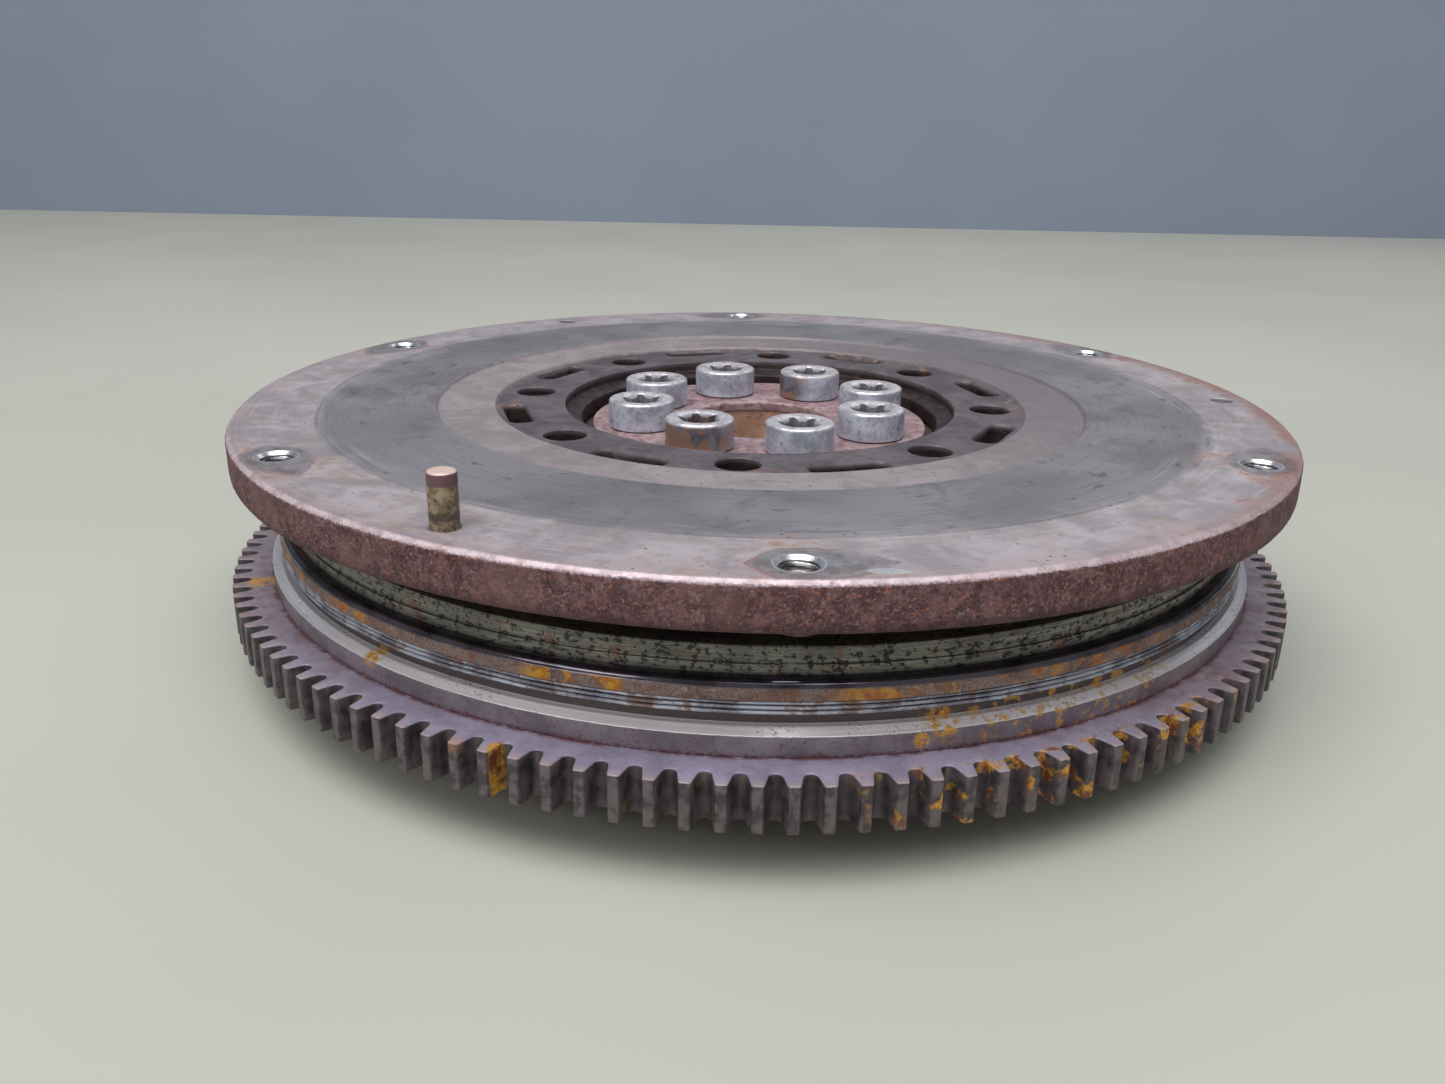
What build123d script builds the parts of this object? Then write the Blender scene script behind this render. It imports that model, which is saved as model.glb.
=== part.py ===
from build123d import *
from math import cos, pi, radians, sin
import os

# Dual-mass flywheel, in millimetres.
# Origin: centre of the face that seats on the crankshaft flange. +Z points to the clutch.
# The primary side bolts to the crankshaft. The secondary side turns on a ball bearing on
# it, held centred in rotation by arc springs. The arc spring stops lie on the X axis.

# ---------------------------------------------------------------- driving dimensions
# Secondary flywheel, the disc that carries the clutch
RIM_RADIUS = 141.0
RIM_THICKNESS = 10.8
TOP_Z = 44.0
RIM_CHAMFER = 1.2
RIM_ROUND = 2.0
FRICTION_OUTER_RADIUS = 120.0
FRICTION_INNER_RADIUS = 89.3
FRICTION_RAISE = 0.2
MIDDLE_RING_DROP = 0.7
INNER_ZONE_MARGIN = 1.5
INNER_ZONE_DROP = 1.6
STEP_RUN = 0.6
OPENING_SEAT = 0.5
OPENING_DEPTH = 2.6
OPENING_LEDGE = 2.5
LIP_WIDTH = 5.0
HOUSING_WALL = 5.0
HOUSING_DEPTH = 14.5
PAD_RADIUS = 84.5
PAD_DROP = 1.4

# Clutch cover fixing
CLUTCH_HOLE_RADIUS = 132.0
CLUTCH_HOLE_COUNT = 6
CLUTCH_HOLE_START = 33.5
THREAD_DRILL = 6.8
THREAD_MOUTH = 9.2
BOSS_DIAMETER = 10.0
BOSS_HEIGHT = 1.5
DOWEL_DIAMETER = 6.0
DOWEL_SHANK = 5.5
DOWEL_RELIEF = 0.3
DOWEL_STANDOUT = 11.5
DOWEL_COUNT = 3
DOWEL_START = 3.0
FITTED_DOWEL_ANGLE = -117.0

# Vents and rivets in the secondary
VENT_MARGIN = 5.3
VENT_WIDTH = 6.2
VENT_HALF_ANGLE = 8.3
VENT_CORNER = 2.4
VENT_START = 18.5
POCKET_MARGIN = 4.4
POCKET_DIAMETER = 11.0
POCKET_DEPTH = 5.0
POCKET_START = 41.0
PATTERN_COUNT = 8
RIVET_SHANK = 6.4
RIVET_HEAD = 8.6
RIVET_HEAD_HEIGHT = 2.4

# Crankshaft bolts and hub stack
BOLT_CIRCLE_RADIUS = 34.0
BOLT_START = 18.35
BOLT_DIAMETER = 12.0
BOLT_LENGTH = 55.0
BOLT_HEAD_DIAMETER = 18.0
BOLT_HEAD_HEIGHT = 7.9
BOLT_HEAD_CHAMFER = 0.7
BOLT_TIP_CHAMFER = 1.2
BOLT_NECK_RELIEF = 0.3
BOLT_THREAD_START = 1.0
BOLT_HOLE_CLEARANCE = 0.25
SOCKET_RADIUS = 5.67
SOCKET_VALLEY_RADIUS = 4.0
SOCKET_SCALLOP = 2.2
SOCKET_DEPTH = 5.2
SOCKET_LOBES = 6
SOCKET_MOUTH = 0.6
CLAMP_HEIGHT = 37.0
WASHER_THICKNESS = 2.5
WASHER_OVERHANG = 4.5
WASHER_BORE_RADIUS = 20.5
PILOT_RADIUS = 20.0
HUB_BORE_RADIUS = 21.0
HUB_FLANGE_WIDTH = 7.5
HUB_FLANGE_THICKNESS = 4.0
HUB_SHOULDER_WIDTH = 2.8
HUB_PIN_DIAMETER = 5.0
HUB_PIN_LENGTH = 15.0
HUB_PIN_COUNT = 4

# Deep-groove bearing between the two masses
BEARING_BORE_RADIUS = 42.5
BEARING_SECTION = 12.5
BEARING_WIDTH = 13.0
BALL_RADIUS = 3.5
BALL_GROOVE_DEPTH = 1.15
BALL_CLEARANCE = 0.06
BALL_COUNT = 24
CAGE_THICKNESS = 2.2
CAGE_WIDTH = 9.6
SHIELD_THICKNESS = 0.4
CIRCLIP_THICKNESS = 1.2
CIRCLIP_WIDTH = 3.0

# Primary flywheel: hub web, spring channel and outer wall
HUB_WEB_THICKNESS = 8.0
CRANK_FACE_RADIUS = 54.0
CHANNEL_SHEET = 5.0
CHANNEL_FLOOR_CLEARANCE = 1.1
CHANNEL_WALL_CLEARANCE = 0.4
COVER_CLEARANCE = 1.0
BULGE_MARGIN = 1.0
BULGE_OUTER_OFFSET = 9.0
PRIMARY_RADIUS = 133.4
NECK_RADIUS = 131.2
GROOVE_RADIUS = 129.8
NECK_HEIGHT = 1.0
GROOVE_HEIGHT = 2.0
WELD_HEIGHT = 3.2
WELD_INNER_RADIUS = 126.5
WELD_BULGE = 0.7
SEAT_LEAD = 2.5
PLUG_COUNT = 2
PLUG_START = 90
PLUG_DIAMETER = 10.0
PLUG_RECESS = 0.6

# Starter ring gear
GEAR_TEETH = 133
GEAR_MODULE = 25.4 / 12
GEAR_PROFILE_SHIFT = 0.35
GEAR_THICKNESS = 10.3
GEAR_TOP_Z = 4.6
GEAR_SEAT_RADIUS = 129.0
GEAR_START = -127.19
TOOTH_TIP_WIDTH = 2.15
TOOTH_DEPTH_FACTOR = 2.25
GAP_ROOT_RADIUS = 1.5
TOOTH_END_CHAMFER = 0.2

# Cover and added mass on the primary
COVER_THICKNESS = 4.2
COVER_RADIUS = 131.0
COVER_INNER_RADIUS = 93.0
COVER_ROUND = 1.8
INERTIA_INNER_RADIUS = 104.0
INERTIA_RADIUS = 128.0
INERTIA_HEIGHT = 5.6
INERTIA_STEP = 0.5
INERTIA_STEP_HEIGHT = 2.2

# Arc springs and the flange that drives them
SPRING_BEND_RADIUS = 106.0
SPRING_Z = 1.0
OUTER_SPRING_RADIUS = 13.4
OUTER_WIRE_RADIUS = 2.3
INNER_SPRING_RADIUS = 8.4
INNER_WIRE_RADIUS = 1.6
STOP_COUNT = 2
STOP_HALF_ANGLE = 7.5
SPRING_END_GAP = 0.5
GUIDE_THICKNESS = 1.2
GUIDE_HALF_HEIGHT = 8.0
GUIDE_CLEARANCE = 0.3
WING_HALF_ANGLE = 7.0
WING_CLEARANCE = 0.7
FLANGE_THICKNESS = 5.0
FLANGE_CONE_CLEARANCE = 1.6
WING_ROOT_OVERLAP = 4.0
FLANGE_FIT = 0.05
STOP_INNER_RADIUS = 97.0

# Seals and friction pack
MEMBRANE_THICKNESS = 0.8
MEMBRANE_RADIUS = 98.0
MEMBRANE_GAP = 0.2
FRICTION_WASHER_THICKNESS = 1.2
FRICTION_DISC_THICKNESS = 3.0
FRICTION_LUG_COUNT = 4
FRICTION_LUG_HALF_ANGLE = 6.0
FRICTION_LUG_WIDTH = 2.3
FRICTION_SPRING_MARGIN = 1.0
FRICTION_SPRING_HEIGHT = 1.8
FRICTION_SPRING_THICKNESS = 0.9
RETAINER_THICKNESS = 1.4
RUNNING_GAP = 0.1
EDGE_CHAMFER = 0.5
EDGE_PICK = 1.0

# ---------------------------------------------------------------- sizes that follow
BEARING_OUTER_RADIUS = BEARING_BORE_RADIUS + BEARING_SECTION
RACE_WALL = BEARING_SECTION / 2 - BALL_RADIUS + BALL_GROOVE_DEPTH
HUB_SHOULDER_RADIUS = BEARING_BORE_RADIUS + HUB_SHOULDER_WIDTH
HUB_FLANGE_RADIUS = BEARING_BORE_RADIUS + HUB_FLANGE_WIDTH
WASHER_RADIUS = BEARING_BORE_RADIUS + WASHER_OVERHANG
HOUSING_RADIUS = BEARING_OUTER_RADIUS + HOUSING_WALL
OPENING_RADIUS = BEARING_OUTER_RADIUS - OPENING_SEAT
LIP_RADIUS = BEARING_OUTER_RADIUS - LIP_WIDTH
VENT_INNER_RADIUS = HOUSING_RADIUS + VENT_MARGIN
POCKET_CIRCLE_RADIUS = HOUSING_RADIUS + POCKET_MARGIN
INNER_ZONE_RADIUS = VENT_INNER_RADIUS + VENT_WIDTH + INNER_ZONE_MARGIN
FRICTION_Z = TOP_Z + FRICTION_RAISE
MIDDLE_RING_Z = TOP_Z - MIDDLE_RING_DROP
INNER_ZONE_Z = TOP_Z - INNER_ZONE_DROP
RIM_BOTTOM_Z = TOP_Z - RIM_THICKNESS
PAD_Z = RIM_BOTTOM_Z - PAD_DROP
HUB_TOP_Z = CLAMP_HEIGHT - WASHER_THICKNESS
BEARING_TOP_Z = HUB_TOP_Z
BEARING_BOTTOM_Z = BEARING_TOP_Z - BEARING_WIDTH
BEARING_MIDDLE_Z = (BEARING_TOP_Z + BEARING_BOTTOM_Z) / 2
HOUSING_BOTTOM_Z = BEARING_TOP_Z - HOUSING_DEPTH
INNER_RACE_RADIUS = BEARING_BORE_RADIUS + RACE_WALL
OUTER_RACE_RADIUS = BEARING_OUTER_RADIUS - RACE_WALL
BALL_CIRCLE_RADIUS = (INNER_RACE_RADIUS + OUTER_RACE_RADIUS) / 2
LEDGE_Z = INNER_ZONE_Z - OPENING_DEPTH
BOLT_HOLE_RADIUS = BOLT_DIAMETER / 2 + BOLT_HOLE_CLEARANCE
BOLT_NECK_RADIUS = BOLT_DIAMETER / 2 - BOLT_NECK_RELIEF
CHANNEL_FLOOR_Z = SPRING_Z - OUTER_SPRING_RADIUS - CHANNEL_FLOOR_CLEARANCE
CHANNEL_BOTTOM_Z = CHANNEL_FLOOR_Z - CHANNEL_SHEET
CHANNEL_WALL_RADIUS = (
    SPRING_BEND_RADIUS + OUTER_SPRING_RADIUS + GUIDE_THICKNESS + CHANNEL_WALL_CLEARANCE
)
FLANGE_CONE_RADIUS = SPRING_BEND_RADIUS - OUTER_SPRING_RADIUS - FLANGE_CONE_CLEARANCE
BULGE_INNER_RADIUS = FLANGE_CONE_RADIUS + BULGE_MARGIN
BULGE_OUTER_RADIUS = SPRING_BEND_RADIUS + BULGE_OUTER_OFFSET
HUB_FLANGE_TOP_Z = HUB_WEB_THICKNESS + HUB_FLANGE_THICKNESS
COVER_BOTTOM_Z = SPRING_Z + OUTER_SPRING_RADIUS + COVER_CLEARANCE
GROOVE_TOP_Z = COVER_BOTTOM_Z - WELD_HEIGHT
NECK_Z = GROOVE_TOP_Z - GROOVE_HEIGHT
CYLINDER_TOP_Z = NECK_Z - NECK_HEIGHT
COVER_TOP_Z = COVER_BOTTOM_Z + COVER_THICKNESS
GEAR_BOTTOM_Z = GEAR_TOP_Z - GEAR_THICKNESS
GEAR_TIP_RADIUS = GEAR_MODULE * ((GEAR_TEETH + 2) / 2 + GEAR_PROFILE_SHIFT)
GEAR_ROOT_RADIUS = GEAR_TIP_RADIUS - TOOTH_DEPTH_FACTOR * GEAR_MODULE
WING_BOTTOM_Z = SPRING_Z - FLANGE_THICKNESS / 2
WING_TOP_Z = SPRING_Z + FLANGE_THICKNESS / 2
GUIDE_INNER_RADIUS = CHANNEL_WALL_RADIUS - GUIDE_THICKNESS
FLANGE_RING_TOP_Z = PAD_Z - MEMBRANE_THICKNESS
FLANGE_RING_BOTTOM_Z = FLANGE_RING_TOP_Z - FLANGE_THICKNESS
FLANGE_BORE_RADIUS = HOUSING_RADIUS + FLANGE_FIT
FLANGE_RING_RADIUS = PAD_RADIUS - EDGE_CHAMFER
CIRCLIP_TOP_Z = BEARING_BOTTOM_Z
CIRCLIP_BOTTOM_Z = CIRCLIP_TOP_Z - CIRCLIP_THICKNESS
CIRCLIP_RADIUS = BEARING_OUTER_RADIUS + CIRCLIP_WIDTH / 2
FRICTION_DISC_Z = HUB_FLANGE_TOP_Z + FRICTION_WASHER_THICKNESS + RUNNING_GAP
FRICTION_DISC_TOP_Z = FRICTION_DISC_Z + FRICTION_DISC_THICKNESS
FRICTION_DISC_RADIUS = HOUSING_RADIUS - EDGE_CHAMFER
FRICTION_SPRING_RADIUS = BEARING_OUTER_RADIUS - FRICTION_SPRING_MARGIN
FRICTION_LUG_TOP_Z = HOUSING_BOTTOM_Z + FRICTION_LUG_WIDTH - RUNNING_GAP
SHOULDER_CLEAR_RADIUS = HUB_SHOULDER_RADIUS + RUNNING_GAP


# ---------------------------------------------------------------- shared shapes
def turned_profile(points):
    """A closed outline of straight runs in the radius-height plane."""
    with BuildSketch(Plane.XZ) as outline:
        with BuildLine():
            Polyline(*points, close=True)
        make_face()
    return outline.sketch


def ring_profile(inner, outer, bottom, top):
    """A rectangle in the radius-height plane, the section of a plain ring."""
    return turned_profile([(inner, bottom), (outer, bottom), (outer, top), (inner, top)])


def ring_sector(inner, outer, half_angle, corner=0.0):
    """A piece of a flat ring, centred on +X, with rounded corners if asked."""
    with BuildSketch() as sector:
        with BuildLine():
            far = CenterArc((0, 0), outer, -half_angle, 2 * half_angle)
            near = CenterArc((0, 0), inner, -half_angle, 2 * half_angle)
            Line(near @ 0, far @ 0)
            Line(near @ 1, far @ 1)
        make_face()
        if corner:
            fillet(sector.vertices(), corner)
    return sector.sketch


def sector_ring(height, inner, outer, half_angle, count, start, corner=0.0):
    """Equal sectors spaced round the axis, on a plane at the given height."""
    with BuildSketch(Plane.XY.offset(height)) as pattern:
        with PolarLocations(0, count, start_angle=start):
            add(ring_sector(inner, outer, half_angle, corner))
    return pattern.sketch


def hole_ring(height, circle_radius, radius, count, start):
    """Equal circles spaced round the axis, on a plane at the given height."""
    with BuildSketch(Plane.XY.offset(height)) as pattern:
        with PolarLocations(circle_radius, count, start_angle=start):
            Circle(radius)
    return pattern.sketch


def vent_sectors(height, growth=0.0):
    """The arc vents, on a plane at the given height, grown all round by a clearance."""
    middle_radius = VENT_INNER_RADIUS + VENT_WIDTH / 2
    half_angle = VENT_HALF_ANGLE + growth / middle_radius * 180 / pi
    inner = VENT_INNER_RADIUS - growth
    outer = VENT_INNER_RADIUS + VENT_WIDTH + growth
    return sector_ring(height, inner, outer, half_angle, PATTERN_COUNT, VENT_START, VENT_CORNER)


def hexalobular_socket(height):
    """The six-lobed driver recess: a circle with six round scallops taken out."""
    with BuildSketch(Plane.XY.offset(height)) as socket:
        Circle(SOCKET_RADIUS)
        with PolarLocations(SOCKET_VALLEY_RADIUS + SOCKET_SCALLOP, SOCKET_LOBES):
            Circle(SOCKET_SCALLOP, mode=Mode.SUBTRACT)
    return socket.sketch


def arc_spring_pair(outer_radius, wire_radius):
    """Two arc springs, one on each side of the stops, as the hollow tubes their coils fill."""
    margin = STOP_HALF_ANGLE + SPRING_END_GAP / SPRING_BEND_RADIUS * 180 / pi
    with BuildPart() as pair:
        for start in (margin, 180 + margin):
            with BuildSketch(Plane.XZ.rotated((0, 0, start))):
                with Locations((SPRING_BEND_RADIUS, SPRING_Z)):
                    Circle(outer_radius)
                    Circle(outer_radius - 2 * wire_radius, mode=Mode.SUBTRACT)
            revolve(axis=Axis.Z, revolution_arc=180 - 2 * margin)
    return pair.part


def finish_node(part, name):
    """Label one node and write its STEP file."""
    part.label = name
    export_step(part, f"parts/{name}.step")


os.makedirs("parts", exist_ok=True)

# ================================================================ primary side
# Primary flywheel: hub web, bulged spring channel, wall for the gear and the cover
with BuildPart() as primary_flywheel:
    revolve(
        turned_profile([
            (PILOT_RADIUS, 0),
            (CRANK_FACE_RADIUS, 0),
            (BULGE_INNER_RADIUS, CHANNEL_BOTTOM_Z),
            (BULGE_OUTER_RADIUS, CHANNEL_BOTTOM_Z),
            (GEAR_SEAT_RADIUS, GEAR_BOTTOM_Z - SEAT_LEAD),
            (GEAR_SEAT_RADIUS, GEAR_TOP_Z),
            (PRIMARY_RADIUS, GEAR_TOP_Z),
            (PRIMARY_RADIUS, CYLINDER_TOP_Z),
            (NECK_RADIUS, NECK_Z),
            (GROOVE_RADIUS, NECK_Z),
            (GROOVE_RADIUS, GROOVE_TOP_Z),
            (WELD_INNER_RADIUS, GROOVE_TOP_Z),
            (WELD_INNER_RADIUS, COVER_BOTTOM_Z),
            (CHANNEL_WALL_RADIUS, COVER_BOTTOM_Z),
            (CHANNEL_WALL_RADIUS, SPRING_Z - GUIDE_HALF_HEIGHT - GUIDE_CLEARANCE),
            (BULGE_OUTER_RADIUS, CHANNEL_FLOOR_Z),
            (BULGE_INNER_RADIUS + CHANNEL_SHEET / 2, CHANNEL_FLOOR_Z),
            (CRANK_FACE_RADIUS + CHANNEL_SHEET, HUB_WEB_THICKNESS),
            (PILOT_RADIUS, HUB_WEB_THICKNESS),
        ]),
        axis=Axis.Z,
    )
    extrude(
        hole_ring(0, BOLT_CIRCLE_RADIUS, BOLT_HOLE_RADIUS, PATTERN_COUNT, BOLT_START),
        amount=HUB_WEB_THICKNESS,
        mode=Mode.SUBTRACT,
    )
    extrude(
        hole_ring(0, BOLT_CIRCLE_RADIUS, HUB_PIN_DIAMETER / 2, HUB_PIN_COUNT,
                  BOLT_START + 180 / PATTERN_COUNT),
        amount=HUB_WEB_THICKNESS,
        mode=Mode.SUBTRACT,
    )
    extrude(
        hole_ring(CHANNEL_BOTTOM_Z, SPRING_BEND_RADIUS, PLUG_DIAMETER / 2, PLUG_COUNT, PLUG_START),
        amount=CHANNEL_SHEET,
        mode=Mode.SUBTRACT,
    )
    bulge_corner = primary_flywheel.edges().filter_by(GeomType.CIRCLE)
    bulge_corner = bulge_corner.filter_by_position(Axis.Z, CHANNEL_BOTTOM_Z, CHANNEL_BOTTOM_Z)
    fillet(bulge_corner.filter_by(lambda edge: edge.radius > BULGE_INNER_RADIUS - EDGE_PICK), CHANNEL_SHEET)
finish_node(primary_flywheel.part, "primary_flywheel")

# Grease filling plugs, pressed into the bottom of the spring channel
with BuildPart() as grease_plugs:
    extrude(
        hole_ring(CHANNEL_BOTTOM_Z + PLUG_RECESS, SPRING_BEND_RADIUS, PLUG_DIAMETER / 2, PLUG_COUNT,
                  PLUG_START),
        amount=CHANNEL_SHEET - PLUG_RECESS,
    )
finish_node(grease_plugs.part, "grease_plugs")

# Starter ring gear, shrunk on to its seat against the shoulder
gear_pitch = 2 * pi * GEAR_TIP_RADIUS / GEAR_TEETH
gap_width = gear_pitch - TOOTH_TIP_WIDTH
with BuildPart() as ring_gear:
    revolve(
        ring_profile(GEAR_SEAT_RADIUS, GEAR_TIP_RADIUS, GEAR_BOTTOM_Z, GEAR_TOP_Z),
        axis=Axis.Z,
    )
    tip_edges = ring_gear.edges().filter_by(GeomType.CIRCLE)
    chamfer(tip_edges.filter_by(lambda edge: edge.radius > GEAR_ROOT_RADIUS), TOOTH_END_CHAMFER)
    with BuildSketch() as tooth_gap:
        with BuildLine():
            root = CenterArc((GEAR_ROOT_RADIUS + GAP_ROOT_RADIUS, 0), GAP_ROOT_RADIUS, 90, 180)
            mouth_r = GEAR_TIP_RADIUS + TOOTH_END_CHAMFER
            Line(root @ 0, (mouth_r, gap_width / 2))
            Line(root @ 1, (mouth_r, -gap_width / 2))
            Line((mouth_r, -gap_width / 2), (mouth_r, gap_width / 2))
        make_face()
    with BuildSketch(Plane.XY.offset(GEAR_BOTTOM_Z)):
        with PolarLocations(0, GEAR_TEETH, start_angle=GEAR_START + 180 / GEAR_TEETH):
            add(tooth_gap.sketch)
    extrude(amount=GEAR_THICKNESS, mode=Mode.SUBTRACT)
finish_node(ring_gear.part, "ring_gear")

# Pressed cover that closes the spring channel
with BuildPart() as primary_cover:
    revolve(
        ring_profile(COVER_INNER_RADIUS, COVER_RADIUS, COVER_BOTTOM_Z, COVER_TOP_Z),
        axis=Axis.Z,
    )
    top_edges = primary_cover.edges().filter_by_position(Axis.Z, COVER_TOP_Z, COVER_TOP_Z)
    fillet(top_edges.filter_by(lambda edge: edge.radius > INERTIA_RADIUS), COVER_ROUND)
finish_node(primary_cover.part, "primary_cover")

# Two-pass weld bead between the primary wall and the cover
with BuildPart() as cover_weld:
    with BuildSketch(Plane.XZ):
        with BuildLine():
            first_pass_top = GROOVE_TOP_Z + WELD_HEIGHT / 2
            first_pass = ThreePointArc(
                (GROOVE_RADIUS + WELD_BULGE, GROOVE_TOP_Z),
                (GROOVE_RADIUS + 2 * WELD_BULGE, GROOVE_TOP_Z + WELD_HEIGHT / 4),
                (GROOVE_RADIUS + WELD_BULGE, first_pass_top),
            )
            second_pass = ThreePointArc(
                first_pass @ 1,
                (GROOVE_RADIUS + 2 * WELD_BULGE, GROOVE_TOP_Z + 3 * WELD_HEIGHT / 4),
                (GROOVE_RADIUS + WELD_BULGE, COVER_BOTTOM_Z),
            )
            Polyline(
                second_pass @ 1,
                (WELD_INNER_RADIUS, COVER_BOTTOM_Z),
                (WELD_INNER_RADIUS, GROOVE_TOP_Z),
                first_pass @ 0,
            )
        make_face()
    revolve(axis=Axis.Z)
finish_node(cover_weld.part, "cover_weld")

# Added-mass ring on the cover, with a turned step round its wall
with BuildPart() as inertia_ring:
    step_z = COVER_TOP_Z + INERTIA_STEP_HEIGHT
    ring_top_z = COVER_TOP_Z + INERTIA_HEIGHT
    revolve(
        turned_profile([
            (INERTIA_INNER_RADIUS, COVER_TOP_Z),
            (INERTIA_RADIUS, COVER_TOP_Z),
            (INERTIA_RADIUS, step_z),
            (INERTIA_RADIUS - INERTIA_STEP, step_z),
            (INERTIA_RADIUS - 2 * INERTIA_STEP, ring_top_z),
            (INERTIA_INNER_RADIUS, ring_top_z),
        ]),
        axis=Axis.Z,
    )
finish_node(inertia_ring.part, "inertia_ring")

# Spring stops: lower pads on the channel floor, upper pads under the cover
with BuildPart() as channel_stops:
    extrude(
        sector_ring(CHANNEL_FLOOR_Z, STOP_INNER_RADIUS, BULGE_OUTER_RADIUS, STOP_HALF_ANGLE,
                    STOP_COUNT, 0),
        amount=WING_BOTTOM_Z - WING_CLEARANCE - CHANNEL_FLOOR_Z,
    )
finish_node(channel_stops.part, "channel_stops")

with BuildPart() as cover_stops:
    upper_stop_z = WING_TOP_Z + WING_CLEARANCE
    extrude(
        sector_ring(upper_stop_z, STOP_INNER_RADIUS, GUIDE_INNER_RADIUS, STOP_HALF_ANGLE, STOP_COUNT,
                    0),
        amount=COVER_BOTTOM_Z - upper_stop_z,
    )
finish_node(cover_stops.part, "cover_stops")

# Sliding shells that carry the springs against the channel wall
with BuildPart() as spring_guides:
    extrude(
        sector_ring(SPRING_Z - GUIDE_HALF_HEIGHT, GUIDE_INNER_RADIUS + GUIDE_CLEARANCE / 2,
                    CHANNEL_WALL_RADIUS, 180 / STOP_COUNT - STOP_HALF_ANGLE,
                    STOP_COUNT, 180 / STOP_COUNT),
        amount=2 * GUIDE_HALF_HEIGHT,
    )
finish_node(spring_guides.part, "spring_guides")

# Nested arc springs
outer_arc_springs = arc_spring_pair(OUTER_SPRING_RADIUS, OUTER_WIRE_RADIUS)
finish_node(outer_arc_springs, "outer_arc_springs")
inner_arc_springs = arc_spring_pair(INNER_SPRING_RADIUS, INNER_WIRE_RADIUS)
finish_node(inner_arc_springs, "inner_arc_springs")

# Bearing hub: flange on the web, shoulder and journal for the inner race
with BuildPart() as bearing_hub:
    revolve(
        turned_profile([
            (HUB_BORE_RADIUS, HUB_WEB_THICKNESS),
            (HUB_FLANGE_RADIUS, HUB_WEB_THICKNESS),
            (HUB_FLANGE_RADIUS, HUB_FLANGE_TOP_Z),
            (HUB_SHOULDER_RADIUS, HUB_FLANGE_TOP_Z),
            (HUB_SHOULDER_RADIUS, BEARING_BOTTOM_Z),
            (BEARING_BORE_RADIUS, BEARING_BOTTOM_Z),
            (BEARING_BORE_RADIUS, HUB_TOP_Z),
            (HUB_BORE_RADIUS, HUB_TOP_Z),
        ]),
        axis=Axis.Z,
    )
    extrude(
        hole_ring(HUB_WEB_THICKNESS, BOLT_CIRCLE_RADIUS, BOLT_HOLE_RADIUS, PATTERN_COUNT, BOLT_START),
        amount=HUB_TOP_Z - HUB_WEB_THICKNESS,
        mode=Mode.SUBTRACT,
    )
    extrude(
        hole_ring(HUB_WEB_THICKNESS, BOLT_CIRCLE_RADIUS, HUB_PIN_DIAMETER / 2, HUB_PIN_COUNT,
                  BOLT_START + 180 / PATTERN_COUNT),
        amount=HUB_PIN_LENGTH - HUB_WEB_THICKNESS + EDGE_CHAMFER,
        mode=Mode.SUBTRACT,
    )
finish_node(bearing_hub.part, "bearing_hub")

# Locating pins between the web and the bearing hub
with BuildPart() as hub_pins:
    extrude(
        hole_ring(EDGE_CHAMFER, BOLT_CIRCLE_RADIUS, HUB_PIN_DIAMETER / 2, HUB_PIN_COUNT,
                  BOLT_START + 180 / PATTERN_COUNT),
        amount=HUB_PIN_LENGTH - EDGE_CHAMFER,
    )
finish_node(hub_pins.part, "hub_pins")

# Washer plate under the bolt heads, which also holds the inner race down
with BuildPart() as washer_plate:
    revolve(
        ring_profile(WASHER_BORE_RADIUS, WASHER_RADIUS, HUB_TOP_Z, CLAMP_HEIGHT),
        axis=Axis.Z,
    )
    extrude(
        hole_ring(HUB_TOP_Z, BOLT_CIRCLE_RADIUS, BOLT_HOLE_RADIUS, PATTERN_COUNT, BOLT_START),
        amount=WASHER_THICKNESS,
        mode=Mode.SUBTRACT,
    )
    plate_edges = washer_plate.edges().filter_by_position(Axis.Z, CLAMP_HEIGHT, CLAMP_HEIGHT)
    chamfer(plate_edges.filter_by(lambda edge: edge.radius > BOLT_HOLE_RADIUS + EDGE_PICK), EDGE_CHAMFER)
finish_node(washer_plate.part, "washer_plate")

# Crankshaft bolts with lobed sockets and a waisted shank, which ends just under the crank face;
# identical, so one node of eight solids
with BuildPart() as one_bolt:
    with BuildSketch(Plane.XZ):
        with BuildLine():
            head_r = BOLT_HEAD_DIAMETER / 2
            head_top_z = CLAMP_HEIGHT + BOLT_HEAD_HEIGHT
            tip_z = CLAMP_HEIGHT - BOLT_LENGTH
            Polyline(
                (0, tip_z),
                (BOLT_DIAMETER / 2 - BOLT_TIP_CHAMFER, tip_z),
                (BOLT_DIAMETER / 2, tip_z + BOLT_TIP_CHAMFER),
                (BOLT_DIAMETER / 2, -BOLT_THREAD_START),
                (BOLT_NECK_RADIUS, -BOLT_THREAD_START),
                (BOLT_NECK_RADIUS, CLAMP_HEIGHT),
                (head_r, CLAMP_HEIGHT),
                (head_r, head_top_z - BOLT_HEAD_CHAMFER),
                (head_r - BOLT_HEAD_CHAMFER, head_top_z),
                (0, head_top_z),
                close=True,
            )
        make_face()
    revolve(axis=Axis.Z)
    extrude(hexalobular_socket(head_top_z - SOCKET_DEPTH), amount=SOCKET_DEPTH, mode=Mode.SUBTRACT)
    with BuildSketch(Plane.XY.offset(head_top_z)):
        Circle(SOCKET_RADIUS + SOCKET_MOUTH)
    extrude(amount=-SOCKET_MOUTH, taper=45, mode=Mode.SUBTRACT)
with BuildPart() as crank_bolts:
    with PolarLocations(BOLT_CIRCLE_RADIUS, PATTERN_COUNT, start_angle=BOLT_START):
        add(one_bolt.part)
finish_node(crank_bolts.part, "crank_bolts")

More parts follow.
